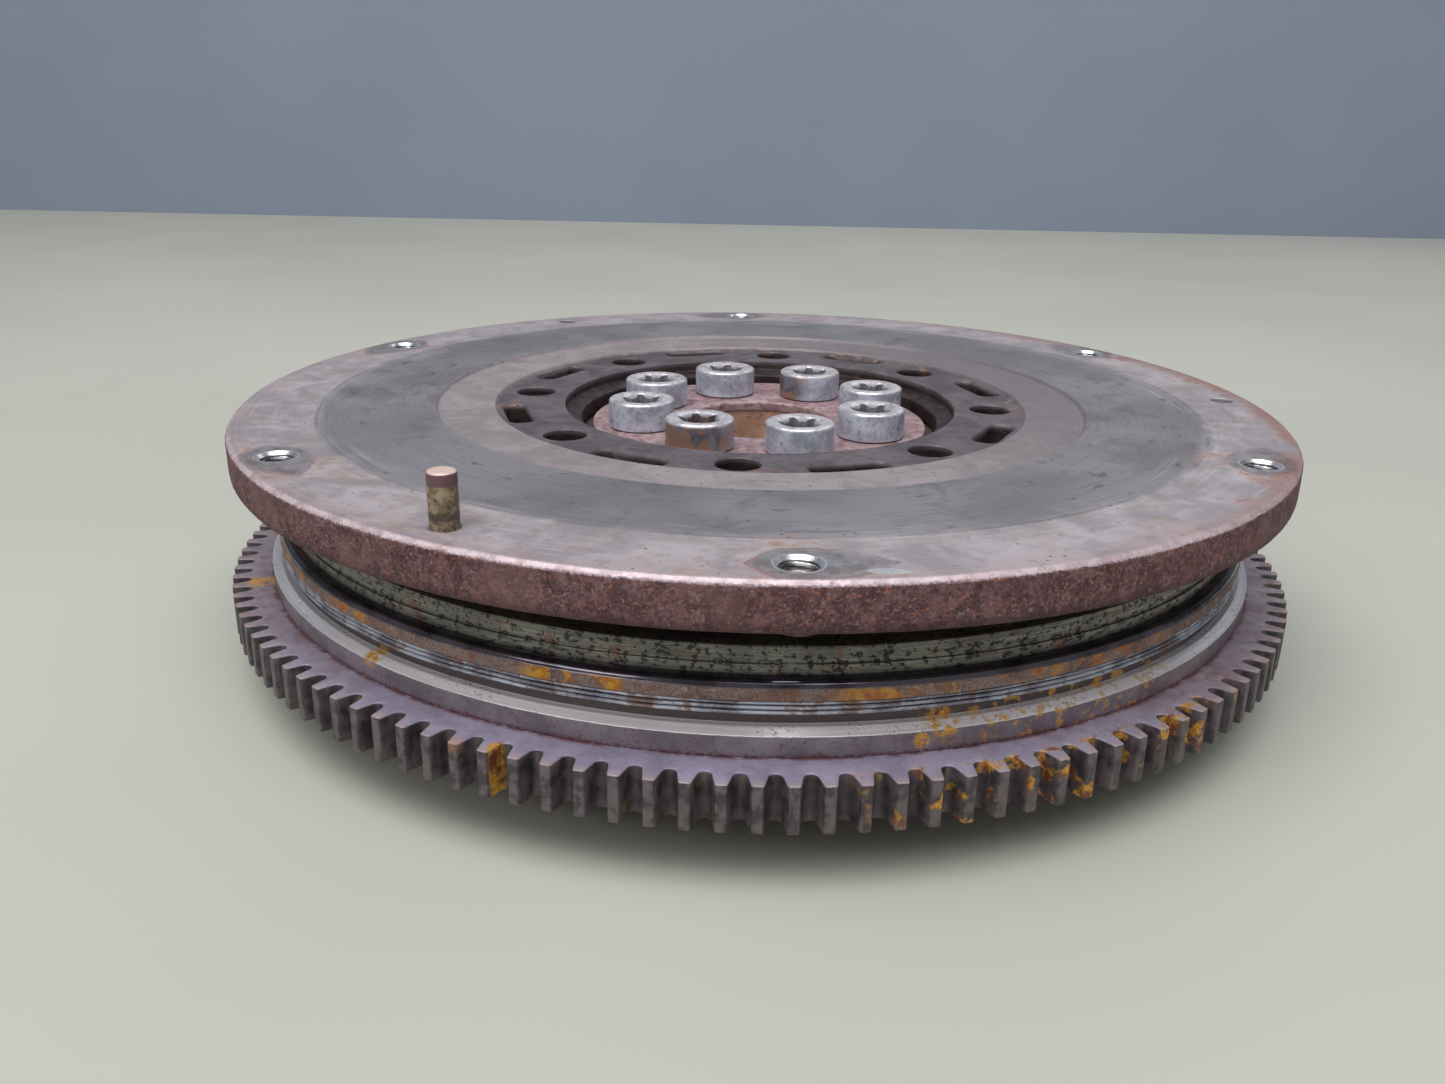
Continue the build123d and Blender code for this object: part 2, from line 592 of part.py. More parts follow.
# Friction pack round the hub shoulder
with BuildPart() as friction_washer:
    revolve(
        ring_profile(SHOULDER_CLEAR_RADIUS, HUB_FLANGE_RADIUS, HUB_FLANGE_TOP_Z,
                     HUB_FLANGE_TOP_Z + FRICTION_WASHER_THICKNESS),
        axis=Axis.Z,
    )
finish_node(friction_washer.part, "friction_washer")

with BuildPart() as friction_disc:
    revolve(
        ring_profile(SHOULDER_CLEAR_RADIUS, FRICTION_DISC_RADIUS, FRICTION_DISC_Z,
                     FRICTION_DISC_TOP_Z),
        axis=Axis.Z,
    )
    extrude(
        sector_ring(FRICTION_DISC_TOP_Z, FRICTION_DISC_RADIUS - FRICTION_LUG_WIDTH,
                    FRICTION_DISC_RADIUS, FRICTION_LUG_HALF_ANGLE, FRICTION_LUG_COUNT, 0),
        amount=FRICTION_LUG_TOP_Z - FRICTION_DISC_TOP_Z,
    )
finish_node(friction_disc.part, "friction_disc")

with BuildPart() as friction_spring:
    spring_foot_z = FRICTION_DISC_TOP_Z + RUNNING_GAP
    spring_top_z = spring_foot_z + FRICTION_SPRING_HEIGHT
    revolve(
        turned_profile([
            (SHOULDER_CLEAR_RADIUS, spring_top_z - FRICTION_SPRING_THICKNESS),
            (FRICTION_SPRING_RADIUS, spring_foot_z),
            (FRICTION_SPRING_RADIUS, spring_foot_z + FRICTION_SPRING_THICKNESS),
            (SHOULDER_CLEAR_RADIUS, spring_top_z),
        ]),
        axis=Axis.Z,
    )
finish_node(friction_spring.part, "friction_spring")

with BuildPart() as friction_retainer:
    revolve(
        ring_profile(HUB_SHOULDER_RADIUS, HUB_FLANGE_RADIUS, spring_top_z,
                     spring_top_z + RETAINER_THICKNESS),
        axis=Axis.Z,
    )
finish_node(friction_retainer.part, "friction_retainer")

# ================================================================ bearing
with BuildPart() as bearing_inner_race:
    revolve(
        ring_profile(BEARING_BORE_RADIUS, INNER_RACE_RADIUS, BEARING_BOTTOM_Z, BEARING_TOP_Z),
        axis=Axis.Z,
    )
    with BuildSketch(Plane.XZ):
        with Locations((BALL_CIRCLE_RADIUS, BEARING_MIDDLE_Z)):
            Circle(BALL_RADIUS + BALL_CLEARANCE)
    revolve(axis=Axis.Z, mode=Mode.SUBTRACT)
finish_node(bearing_inner_race.part, "bearing_inner_race")

with BuildPart() as bearing_outer_race:
    revolve(
        ring_profile(OUTER_RACE_RADIUS, BEARING_OUTER_RADIUS, BEARING_BOTTOM_Z, BEARING_TOP_Z),
        axis=Axis.Z,
    )
    with BuildSketch(Plane.XZ):
        with Locations((BALL_CIRCLE_RADIUS, BEARING_MIDDLE_Z)):
            Circle(BALL_RADIUS + BALL_CLEARANCE)
    revolve(axis=Axis.Z, mode=Mode.SUBTRACT)
finish_node(bearing_outer_race.part, "bearing_outer_race")

with BuildPart() as bearing_balls:
    with Locations((0, 0, BEARING_MIDDLE_Z)):
        with PolarLocations(BALL_CIRCLE_RADIUS, BALL_COUNT):
            Sphere(BALL_RADIUS)
finish_node(bearing_balls.part, "bearing_balls")

with BuildPart() as bearing_cage:
    revolve(
        ring_profile(BALL_CIRCLE_RADIUS - CAGE_THICKNESS / 2, BALL_CIRCLE_RADIUS + CAGE_THICKNESS / 2,
                     BEARING_MIDDLE_Z - CAGE_WIDTH / 2, BEARING_MIDDLE_Z + CAGE_WIDTH / 2),
        axis=Axis.Z,
    )
    pocket = 2 * (BALL_RADIUS + BALL_CLEARANCE)
    with Locations((0, 0, BEARING_MIDDLE_Z)):
        with PolarLocations(BALL_CIRCLE_RADIUS, BALL_COUNT):
            Box(2 * CAGE_THICKNESS, pocket, pocket, mode=Mode.SUBTRACT)
finish_node(bearing_cage.part, "bearing_cage")

with BuildPart() as bearing_shields:
    shield_inset = (BEARING_WIDTH - CAGE_WIDTH) / 4
    for shield_z in (BEARING_BOTTOM_Z + shield_inset, BEARING_TOP_Z - shield_inset - SHIELD_THICKNESS):
        revolve(
            ring_profile(INNER_RACE_RADIUS + RUNNING_GAP, OUTER_RACE_RADIUS, shield_z,
                         shield_z + SHIELD_THICKNESS),
            axis=Axis.Z,
        )
finish_node(bearing_shields.part, "bearing_shields")

with BuildPart() as bearing_circlip:
    revolve(
        ring_profile(CIRCLIP_RADIUS - CIRCLIP_WIDTH, CIRCLIP_RADIUS, CIRCLIP_BOTTOM_Z, CIRCLIP_TOP_Z),
        axis=Axis.Z,
    )
    with BuildSketch(Plane.XY.offset(CIRCLIP_BOTTOM_Z)):
        add(ring_sector(CIRCLIP_RADIUS - 2 * CIRCLIP_WIDTH, CIRCLIP_RADIUS + EDGE_PICK,
                        FRICTION_LUG_HALF_ANGLE))
    extrude(amount=CIRCLIP_THICKNESS, mode=Mode.SUBTRACT)
finish_node(bearing_circlip.part, "bearing_circlip")

# ================================================================ secondary side
with BuildPart() as secondary_flywheel:
    revolve(
        turned_profile([
            (OPENING_RADIUS, INNER_ZONE_Z),
            (INNER_ZONE_RADIUS, INNER_ZONE_Z),
            (INNER_ZONE_RADIUS + STEP_RUN, MIDDLE_RING_Z),
            (FRICTION_INNER_RADIUS - STEP_RUN, MIDDLE_RING_Z),
            (FRICTION_INNER_RADIUS, FRICTION_Z),
            (FRICTION_OUTER_RADIUS, FRICTION_Z),
            (FRICTION_OUTER_RADIUS + FRICTION_RAISE, TOP_Z),
            (RIM_RADIUS - RIM_CHAMFER, TOP_Z),
            (RIM_RADIUS, TOP_Z - RIM_CHAMFER),
            (RIM_RADIUS, RIM_BOTTOM_Z),
            (PAD_RADIUS + PAD_DROP, RIM_BOTTOM_Z),
            (PAD_RADIUS, PAD_Z),
            (HOUSING_RADIUS, PAD_Z),
            (HOUSING_RADIUS, HOUSING_BOTTOM_Z),
            (BEARING_OUTER_RADIUS, HOUSING_BOTTOM_Z),
            (BEARING_OUTER_RADIUS, CIRCLIP_BOTTOM_Z),
            (CIRCLIP_RADIUS, CIRCLIP_BOTTOM_Z),
            (CIRCLIP_RADIUS, CIRCLIP_TOP_Z),
            (BEARING_OUTER_RADIUS, CIRCLIP_TOP_Z),
            (BEARING_OUTER_RADIUS, BEARING_TOP_Z),
            (LIP_RADIUS, BEARING_TOP_Z),
            (LIP_RADIUS, LEDGE_Z - OPENING_LEDGE / 2),
            (OPENING_RADIUS - OPENING_LEDGE, LEDGE_Z - EDGE_CHAMFER),
            (OPENING_RADIUS, LEDGE_Z),
        ]),
        axis=Axis.Z,
    )
    rim_edges = secondary_flywheel.edges().filter_by_position(Axis.Z, RIM_BOTTOM_Z, RIM_BOTTOM_Z)
    fillet(rim_edges.filter_by(lambda edge: edge.radius > CLUTCH_HOLE_RADIUS), RIM_ROUND)
    # Bosses under the clutch cover holes
    extrude(
        hole_ring(RIM_BOTTOM_Z - BOSS_HEIGHT, CLUTCH_HOLE_RADIUS, BOSS_DIAMETER / 2,
                  CLUTCH_HOLE_COUNT, CLUTCH_HOLE_START),
        amount=BOSS_HEIGHT + EDGE_CHAMFER,
    )
    extrude(vent_sectors(PAD_Z), amount=INNER_ZONE_Z - PAD_Z, mode=Mode.SUBTRACT)
    # Sunk seats and holes of the flange rivets
    extrude(
        hole_ring(INNER_ZONE_Z - POCKET_DEPTH, POCKET_CIRCLE_RADIUS, POCKET_DIAMETER / 2,
                  PATTERN_COUNT, POCKET_START),
        amount=POCKET_DEPTH,
        mode=Mode.SUBTRACT,
    )
    extrude(
        hole_ring(PAD_Z, POCKET_CIRCLE_RADIUS, RIVET_SHANK / 2, PATTERN_COUNT, POCKET_START),
        amount=INNER_ZONE_Z - PAD_Z,
        mode=Mode.SUBTRACT,
    )
    # Tapped holes for the clutch cover, with a countersunk mouth
    with BuildSketch(Plane.XY.offset(TOP_Z)) as tapped_holes:
        with PolarLocations(CLUTCH_HOLE_RADIUS, CLUTCH_HOLE_COUNT, start_angle=CLUTCH_HOLE_START):
            Circle(THREAD_DRILL / 2)
    extrude(amount=-(RIM_THICKNESS + BOSS_HEIGHT), mode=Mode.SUBTRACT)
    mouth_edges = secondary_flywheel.edges().filter_by_position(Axis.Z, TOP_Z, TOP_Z)
    mouth_edges = mouth_edges.filter_by(GeomType.CIRCLE)
    chamfer(
        mouth_edges.filter_by(lambda edge: abs(edge.radius - THREAD_DRILL / 2) < EDGE_CHAMFER),
        (THREAD_MOUTH - THREAD_DRILL) / 2,
    )
    # Dowel holes
    extrude(
        hole_ring(RIM_BOTTOM_Z, CLUTCH_HOLE_RADIUS, DOWEL_SHANK / 2, DOWEL_COUNT, DOWEL_START),
        amount=RIM_THICKNESS,
        mode=Mode.SUBTRACT,
    )
    # Notches that drive the friction disc
    extrude(
        sector_ring(HOUSING_BOTTOM_Z, FRICTION_DISC_RADIUS - FRICTION_LUG_WIDTH - RUNNING_GAP,
                    HOUSING_RADIUS + EDGE_CHAMFER, FRICTION_LUG_HALF_ANGLE + EDGE_CHAMFER,
                    FRICTION_LUG_COUNT, 0),
        amount=FRICTION_LUG_WIDTH,
        mode=Mode.SUBTRACT,
    )
finish_node(secondary_flywheel.part, "secondary_flywheel")

# Drive flange: ring riveted to the secondary, cone, and two wings between the springs
with BuildPart() as drive_flange:
    cone_bottom_radius = FLANGE_CONE_RADIUS - FLANGE_THICKNESS
    wing_root_radius = FLANGE_CONE_RADIUS - WING_ROOT_OVERLAP
    revolve(
        turned_profile([
            (FLANGE_BORE_RADIUS, FLANGE_RING_BOTTOM_Z),
            (FLANGE_BORE_RADIUS, FLANGE_RING_TOP_Z),
            (FLANGE_RING_RADIUS, FLANGE_RING_TOP_Z),
            (FLANGE_CONE_RADIUS, WING_TOP_Z),
            (FLANGE_CONE_RADIUS, WING_BOTTOM_Z),
            (cone_bottom_radius, WING_BOTTOM_Z),
            (FLANGE_RING_RADIUS - FLANGE_THICKNESS, FLANGE_RING_BOTTOM_Z),
        ]),
        axis=Axis.Z,
    )
    extrude(
        sector_ring(WING_BOTTOM_Z, wing_root_radius, GUIDE_INNER_RADIUS - WING_CLEARANCE,
                    WING_HALF_ANGLE, STOP_COUNT, 0),
        amount=FLANGE_THICKNESS,
    )
    extrude(
        vent_sectors(FLANGE_RING_BOTTOM_Z, EDGE_CHAMFER),
        amount=FLANGE_THICKNESS,
        mode=Mode.SUBTRACT,
    )
    extrude(
        hole_ring(FLANGE_RING_BOTTOM_Z, POCKET_CIRCLE_RADIUS, RIVET_SHANK / 2, PATTERN_COUNT,
                  POCKET_START),
        amount=FLANGE_THICKNESS,
        mode=Mode.SUBTRACT,
    )
finish_node(drive_flange.part, "drive_flange")

# Rivets through the secondary, the membrane and the flange
with BuildPart() as flange_rivets:
    pocket_floor_z = INNER_ZONE_Z - POCKET_DEPTH
    extrude(
        hole_ring(pocket_floor_z, POCKET_CIRCLE_RADIUS, RIVET_HEAD / 2, PATTERN_COUNT, POCKET_START),
        amount=RIVET_HEAD_HEIGHT,
    )
    head_edges = flange_rivets.edges().group_by(Axis.Z)[-1]
    fillet(head_edges, RIVET_HEAD_HEIGHT / 2)
    extrude(
        hole_ring(FLANGE_RING_BOTTOM_Z, POCKET_CIRCLE_RADIUS, RIVET_SHANK / 2, PATTERN_COUNT,
                  POCKET_START),
        amount=pocket_floor_z - FLANGE_RING_BOTTOM_Z,
    )
    extrude(
        hole_ring(FLANGE_RING_BOTTOM_Z - RIVET_HEAD_HEIGHT, POCKET_CIRCLE_RADIUS, RIVET_HEAD / 2,
                  PATTERN_COUNT, POCKET_START),
        amount=RIVET_HEAD_HEIGHT,
    )
finish_node(flange_rivets.part, "flange_rivets")

# Sealing membrane, clamped under the rivets and sprung towards the cover
with BuildPart() as sealing_membrane:
    membrane_foot_z = COVER_TOP_Z + MEMBRANE_GAP
    revolve(
        turned_profile([
            (FLANGE_BORE_RADIUS, FLANGE_RING_TOP_Z),
            (FLANGE_RING_RADIUS, FLANGE_RING_TOP_Z),
            (MEMBRANE_RADIUS, membrane_foot_z),
            (MEMBRANE_RADIUS, membrane_foot_z + MEMBRANE_THICKNESS),
            (FLANGE_RING_RADIUS, PAD_Z),
            (FLANGE_BORE_RADIUS, PAD_Z),
        ]),
        axis=Axis.Z,
    )
    extrude(
        vent_sectors(FLANGE_RING_TOP_Z, EDGE_CHAMFER),
        amount=MEMBRANE_THICKNESS,
        mode=Mode.SUBTRACT,
    )
    extrude(
        hole_ring(FLANGE_RING_TOP_Z, POCKET_CIRCLE_RADIUS, RIVET_SHANK / 2, PATTERN_COUNT,
                  POCKET_START),
        amount=MEMBRANE_THICKNESS,
        mode=Mode.SUBTRACT,
    )
finish_node(sealing_membrane.part, "sealing_membrane")

# Dowel that centres the clutch cover, with a thinner shank pressed into the rim
dowel_angle = radians(FITTED_DOWEL_ANGLE)
dowel_x = CLUTCH_HOLE_RADIUS * cos(dowel_angle)
dowel_y = CLUTCH_HOLE_RADIUS * sin(dowel_angle)
with BuildPart() as dowel_pin:
    with BuildSketch(Plane.XY.offset(RIM_BOTTOM_Z)):
        with Locations((dowel_x, dowel_y)):
            Circle(DOWEL_SHANK / 2)
    extrude(amount=RIM_THICKNESS + DOWEL_RELIEF)
    with BuildSketch(Plane.XY.offset(TOP_Z + DOWEL_RELIEF)):
        with Locations((dowel_x, dowel_y)):
            Circle(DOWEL_DIAMETER / 2)
    extrude(amount=DOWEL_STANDOUT - DOWEL_RELIEF)
    chamfer(dowel_pin.edges().group_by(Axis.Z)[-1], EDGE_CHAMFER)
finish_node(dowel_pin.part, "dowel_pin")
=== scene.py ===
import math
import random

import bpy
import numpy as np
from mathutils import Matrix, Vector, noise


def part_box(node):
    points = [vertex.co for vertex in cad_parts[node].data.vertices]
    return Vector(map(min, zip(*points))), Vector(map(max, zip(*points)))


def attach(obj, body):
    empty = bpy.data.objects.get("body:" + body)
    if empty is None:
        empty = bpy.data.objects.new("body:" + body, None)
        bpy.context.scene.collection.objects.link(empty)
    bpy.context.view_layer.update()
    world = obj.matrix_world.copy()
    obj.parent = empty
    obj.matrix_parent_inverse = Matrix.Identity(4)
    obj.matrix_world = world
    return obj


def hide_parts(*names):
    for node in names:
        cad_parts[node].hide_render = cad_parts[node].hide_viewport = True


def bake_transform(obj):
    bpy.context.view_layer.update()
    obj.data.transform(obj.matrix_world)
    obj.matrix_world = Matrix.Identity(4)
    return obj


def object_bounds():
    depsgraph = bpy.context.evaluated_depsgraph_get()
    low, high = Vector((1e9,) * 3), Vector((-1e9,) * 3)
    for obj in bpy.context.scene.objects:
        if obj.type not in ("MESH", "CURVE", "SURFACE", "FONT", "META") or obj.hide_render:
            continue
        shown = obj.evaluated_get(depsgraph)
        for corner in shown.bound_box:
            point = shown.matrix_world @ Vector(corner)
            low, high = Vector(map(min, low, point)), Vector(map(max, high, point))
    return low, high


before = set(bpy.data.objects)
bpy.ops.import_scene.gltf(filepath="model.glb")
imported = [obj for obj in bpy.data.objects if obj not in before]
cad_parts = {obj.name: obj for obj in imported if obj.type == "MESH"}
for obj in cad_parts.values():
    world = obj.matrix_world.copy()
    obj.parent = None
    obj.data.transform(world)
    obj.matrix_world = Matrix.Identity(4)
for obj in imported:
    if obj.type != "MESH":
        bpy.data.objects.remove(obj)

cad_low, cad_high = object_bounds()
random.seed(7)
MM = 0.001
TAU = 2 * math.pi


# ------------------------------------------------------------------ sizes, in millimetres
def reach(node):
    """A turned node's outer radius and its lowest and highest height."""
    low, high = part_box(node)
    return high.x / MM, low.z / MM, high.z / MM


RIM_R, HOUSING_LOW, FRICTION_Z = reach("secondary_flywheel")
TOP_Z = FRICTION_Z - 0.2
RIM_LOW = TOP_Z - 10.8
GEAR_R, GEAR_LOW, GEAR_TOP = reach("ring_gear")
COVER_R, COVER_LOW, COVER_TOP = reach("primary_cover")
MASS_R, MASS_LOW, MASS_TOP = reach("inertia_ring")
PRIMARY_R, PRIMARY_LOW, PRIMARY_TOP = reach("primary_flywheel")
WELD_R, WELD_LOW, WELD_TOP = reach("cover_weld")
PLATE_R, PLATE_LOW, PLATE_TOP = reach("washer_plate")
BOLT_LOW, BOLT_TOP = (corner.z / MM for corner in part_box("crank_bolts"))
PIN_LOW, PIN_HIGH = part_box("dowel_pin")
TEETH = 133
GEAR_BORE = 129.0
AROUND = 720
SMOOTH_ANGLE = 32
HOLE_COUNT = 6
HOLE_CIRCLE = 132.0
HOLE_START = 33.5
DOWEL_START = 3.0
TAP_MINOR, TAP_MAJOR, TAP_PITCH = 3.4, 4.0, 1.25
BOLT_COUNT = 8
BOLT_CIRCLE = 34.0
BOLT_START = 18.35
BOLT_HOLE_R = 6.25
BOLT_HEAD = 7.9
SOCKET_LOBE = 6.2
VENT_CIRCLE = 68.4
VENT_START = 18.5
VENT_HALF_ANGLE = 8.3
VENT_HALF_WIDTH = 3.1
VENT_CORNER = 2.4
VENT_COUNT = 8
RIVET_CIRCLE = 64.4
RIVET_START = 41.0
RIVET_COUNT = 8
INNER_ZONE_R = 73.0
INNER_ZONE_Z = TOP_Z - 1.6
FRICTION_IN = 89.3
FRICTION_OUT = 120.0
BEARING_R, BEARING_LOW, BEARING_TOP = 55.0, 21.5, 34.5
SPRING_CIRCLE = 106.0


# ------------------------------------------------------------------ mesh helpers
def make_object(name, points, faces, smooth_angle=SMOOTH_ANGLE):
    mesh = bpy.data.meshes.new(name)
    mesh.from_pydata([tuple(p) for p in points], [], faces)
    mesh.update()
    mesh.polygons.foreach_set("use_smooth", [True] * len(mesh.polygons))
    mesh.set_sharp_from_angle(angle=math.radians(smooth_angle))
    piece = bpy.data.objects.new(name, mesh)
    bpy.context.scene.collection.objects.link(piece)
    return piece


def skin(rings, closed_profile):
    """Points and faces joining equal rings of points; the ends are capped unless the profile closes."""
    rings = np.asarray(rings, float)
    count, around = rings.shape[:2]
    points = rings.reshape(-1, 3) * MM
    faces = []
    last = count if closed_profile else count - 1
    for i in range(last):
        here = i * around
        there = (i + 1) % count * around
        for j in range(around):
            k = (j + 1) % around
            faces.append((here + j, here + k, there + k, there + j))
    if not closed_profile:
        faces.append(tuple(reversed(range(around))))
        top = (count - 1) * around
        faces.append(tuple(range(top, top + around)))
    return points, faces


def circle(radius, z, around, centre=(0.0, 0.0)):
    """A ring of points; radius and z may each be one number or one per point."""
    turn = np.arange(around) * TAU / around
    ring = np.zeros((around, 3))
    ring[:, 0] = centre[0] + radius * np.cos(turn)
    ring[:, 1] = centre[1] + radius * np.sin(turn)
    ring[:, 2] = z
    return ring


def rounded_profile(corners, steps=3):
    """A closed profile of (radius, z, bevel) corners, each bevelled corner turned into a small curve."""
    path = []
    count = len(corners)
    for i, (r, z, bevel) in enumerate(corners):
        here = np.array((r, z))
        if not bevel:
            path.append(here)
            continue
        before = np.array(corners[i - 1][:2]) - here
        after = np.array(corners[(i + 1) % count][:2]) - here
        start = here + before / np.linalg.norm(before) * bevel
        end = here + after / np.linalg.norm(after) * bevel
        for t in np.linspace(0, 1, steps + 1):
            path.append((1 - t) ** 2 * start + 2 * t * (1 - t) * here + t * t * end)
    return path


def lathe(name, corners, around=AROUND, steps=3, rough=0.0, rough_scale=0.3, only=None):
    """A turned piece from a closed profile; rough moves the skin by noise, in millimetres.

    A clockwise profile, as all the callers give, turns the faces inwards.
    """
    path = rounded_profile(corners, steps)
    rings = np.array([circle(r, z, around) for r, z in path])
    if rough:
        for ring, (r, z) in zip(rings, path):
            if only and not only(r, z):
                continue
            for p in ring:
                n = noise.noise(Vector(p) * rough_scale) + 0.5 * noise.noise(Vector(p) * rough_scale * 3.1)
                p[0] -= p[0] / r * rough * abs(n)
                p[1] -= p[1] / r * rough * abs(n)
    points, faces = skin(rings, True)
    return make_object(name, points, faces)


def polar(radius, degrees):
    return radius * math.cos(math.radians(degrees)), radius * math.sin(math.radians(degrees))


def spread(radius, start, count):
    """Centres evenly spaced round the axis, the first at start degrees."""
    return [polar(radius, start + 360 / count * k) for k in range(count)]


def join(pieces, name):
    """One mesh object from several, which are removed."""
    points, faces, base = [], [], 0
    for piece in pieces:
        mesh = piece.data
        points += [tuple(v.co) for v in mesh.vertices]
        faces += [tuple(base + i for i in p.vertices) for p in mesh.polygons]
        base += len(mesh.vertices)
        bpy.data.objects.remove(piece)
    return make_object(name, points, faces)


def combine(piece, tool, operation):
    """Cuts the tool from the piece, or adds it, and removes the tool."""
    modifier = piece.modifiers.new("cut", "BOOLEAN")
    modifier.solver = "MANIFOLD"
    modifier.operation = operation
    modifier.object = tool
    bpy.context.view_layer.update()
    graph = bpy.context.evaluated_depsgraph_get()
    mesh = bpy.data.meshes.new_from_object(piece.evaluated_get(graph))
    piece.modifiers.clear()
    piece.data = mesh
    bpy.data.objects.remove(tool)
    mesh.polygons.foreach_set("use_smooth", [True] * len(mesh.polygons))
    mesh.set_sharp_from_angle(angle=math.radians(SMOOTH_ANGLE))
    return piece


def stub(name, levels, centre, around=48):
    """A closed upright plug of (radius, z) levels, lowest first."""
    points, faces = skin([circle(r, z, around, centre) for r, z in levels], False)
    return make_object(name, points, faces)


def thread_rings(low, high, minor, major, pitch, around, step, centre=(0.0, 0.0), ends=0.0):
    """Rings of a screw thread as a wavy cylinder: the radius depends on height and angle."""
    rings = []
    turn = np.arange(around) / around
    for z in np.arange(low, high + step / 2, step):
        phase = (z / pitch - turn) % 1.0
        crest = np.clip(np.abs(2 * phase - 1) * 1.3 - 0.1, 0, 1)
        fade = 1.0 if not ends else min(1.0, (z - low) / ends, (high - z) / ends)
        rings.append(circle(minor + (major - minor) * crest * fade, z, around, centre))
    return rings


# ------------------------------------------------------------------ material helpers
def srgb(r, g, b):
    out = []
    for c in (r, g, b):
        c /= 255
        out.append(c / 12.92 if c <= 0.04045 else ((c + 0.055) / 1.055) ** 2.4)
    return (*out, 1.0)


class Finish:
    """One procedural material. Its methods return sockets; lengths inside it are in millimetres."""

    def __init__(self, name, **fixed):
        self.material = bpy.data.materials.new(name)
        self.material.use_nodes = True
        self.tree = self.material.node_tree
        self.tree.nodes.clear()
        self.shader = self.tree.nodes.new("ShaderNodeBsdfPrincipled")
        output = self.tree.nodes.new("ShaderNodeOutputMaterial")
        self.tree.links.new(self.shader.outputs[0], output.inputs[0])
        for key, value in fixed.items():
            self.shader.inputs[key.replace("_", " ")].default_value = value
        coords = self.tree.nodes.new("ShaderNodeTexCoord").outputs["Object"]
        scaled = self.node("ShaderNodeVectorMath", operation="SCALE")
        self.put(scaled.inputs[0], coords)
        scaled.inputs["Scale"].default_value = 1 / MM
        self.point = scaled.outputs[0]
        apart = self.node("ShaderNodeSeparateXYZ")
        self.put(apart.inputs[0], self.point)
        self.x, self.y, self.z = apart.outputs
        squares = self.math("ADD", self.math("MULTIPLY", self.x, self.x),
                            self.math("MULTIPLY", self.y, self.y))
        self.r = self.math("SQRT", squares)
        self.cos = self.math("DIVIDE", self.x, self.r)
        self.sin = self.math("DIVIDE", self.y, self.r)

    def node(self, kind, **settings):
        made = self.tree.nodes.new(kind)
        for key, value in settings.items():
            setattr(made, key, value)
        return made

    def put(self, socket, value):
        if isinstance(value, bpy.types.NodeSocket):
            self.tree.links.new(value, socket)
        else:
            socket.default_value = value

    def math(self, operation, a, b=0.0, c=0.0, clamp=False):
        made = self.node("ShaderNodeMath", operation=operation, use_clamp=clamp)
        for socket, value in zip(made.inputs, (a, b, c)):
            self.put(socket, value)
        return made.outputs[0]

    def times(self, *values):
        total = values[0]
        for value in values[1:]:
            total = self.math("MULTIPLY", total, value)
        return total

    def plus(self, *values):
        total = values[0]
        for value in values[1:]:
            total = self.math("ADD", total, value)
        return total

    def most(self, *values):
        total = values[0]
        for value in values[1:]:
            total = self.math("MAXIMUM", total, value)
        return total

    def minus(self, a, b):
        return self.math("SUBTRACT", a, b)

    def flip(self, a):
        return self.math("SUBTRACT", 1.0, a)

    def mix(self, factor, a, b, blend="MIX"):
        made = self.node("ShaderNodeMix", data_type="RGBA", blend_type=blend)
        self.put(made.inputs[0], factor)
        self.put(made.inputs[6], a)
        self.put(made.inputs[7], b)
        return made.outputs[2]

    def shade(self, value, low, high, a, b):
        """Colour a where the value is below low, b where it is above high."""
        return self.mix(self.rise(value, low, high), srgb(*a), srgb(*b))

    def over(self, base, colour, *masks):
        """The colour laid over the base by the product of the masks."""
        return self.mix(self.times(*masks), base, srgb(*colour))

    def sway(self, pattern, reach_mm):
        """A noise pattern turned into an offset that goes both ways."""
        return self.times(self.minus(pattern, 0.5), reach_mm)

    def lerp(self, factor, a, b):
        made = self.node("ShaderNodeMix", data_type="FLOAT")
        self.put(made.inputs[0], factor)
        self.put(made.inputs[2], a)
        self.put(made.inputs[3], b)
        return made.outputs[0]

    def vector(self, x, y, z):
        made = self.node("ShaderNodeCombineXYZ")
        for socket, value in zip(made.inputs, (x, y, z)):
            self.put(socket, value)
        return made.outputs[0]

    def noise(self, scale, vector=None, detail=3.0, rough=0.55, bend=0.0):
        made = self.node("ShaderNodeTexNoise")
        self.put(made.inputs["Vector"], self.point if vector is None else vector)
        made.inputs["Scale"].default_value = scale
        made.inputs["Detail"].default_value = detail
        made.inputs["Roughness"].default_value = rough
        made.inputs["Distortion"].default_value = bend
        return made.outputs["Fac"]

    def cells(self, scale, vector=None):
        made = self.node("ShaderNodeTexVoronoi")
        self.put(made.inputs["Vector"], self.point if vector is None else vector)
        made.inputs["Scale"].default_value = scale
        return made.outputs["Distance"]

    def rise(self, value, low, high):
        """0 below low, 1 above high, smooth between; low may be above high."""
        made = self.node("ShaderNodeMapRange", interpolation_type="SMOOTHSTEP")
        self.put(made.inputs[0], value)
        made.inputs[1].default_value = low
        made.inputs[2].default_value = high
        return made.outputs[0]

    def band(self, value, low, high, soft):
        up = self.rise(value, low - soft, low + soft)
        down = self.rise(value, high + soft, high - soft)
        return self.times(up, down)

    def around(self, turn_scale, radial_scale, height_scale=0.0):
        """Coordinates that run round the axis, for turning marks and wiped streaks."""
        radial = self.plus(self.times(self.r, radial_scale), self.times(self.z, height_scale))
        return self.vector(self.times(self.cos, turn_scale), self.times(self.sin, turn_scale), radial)

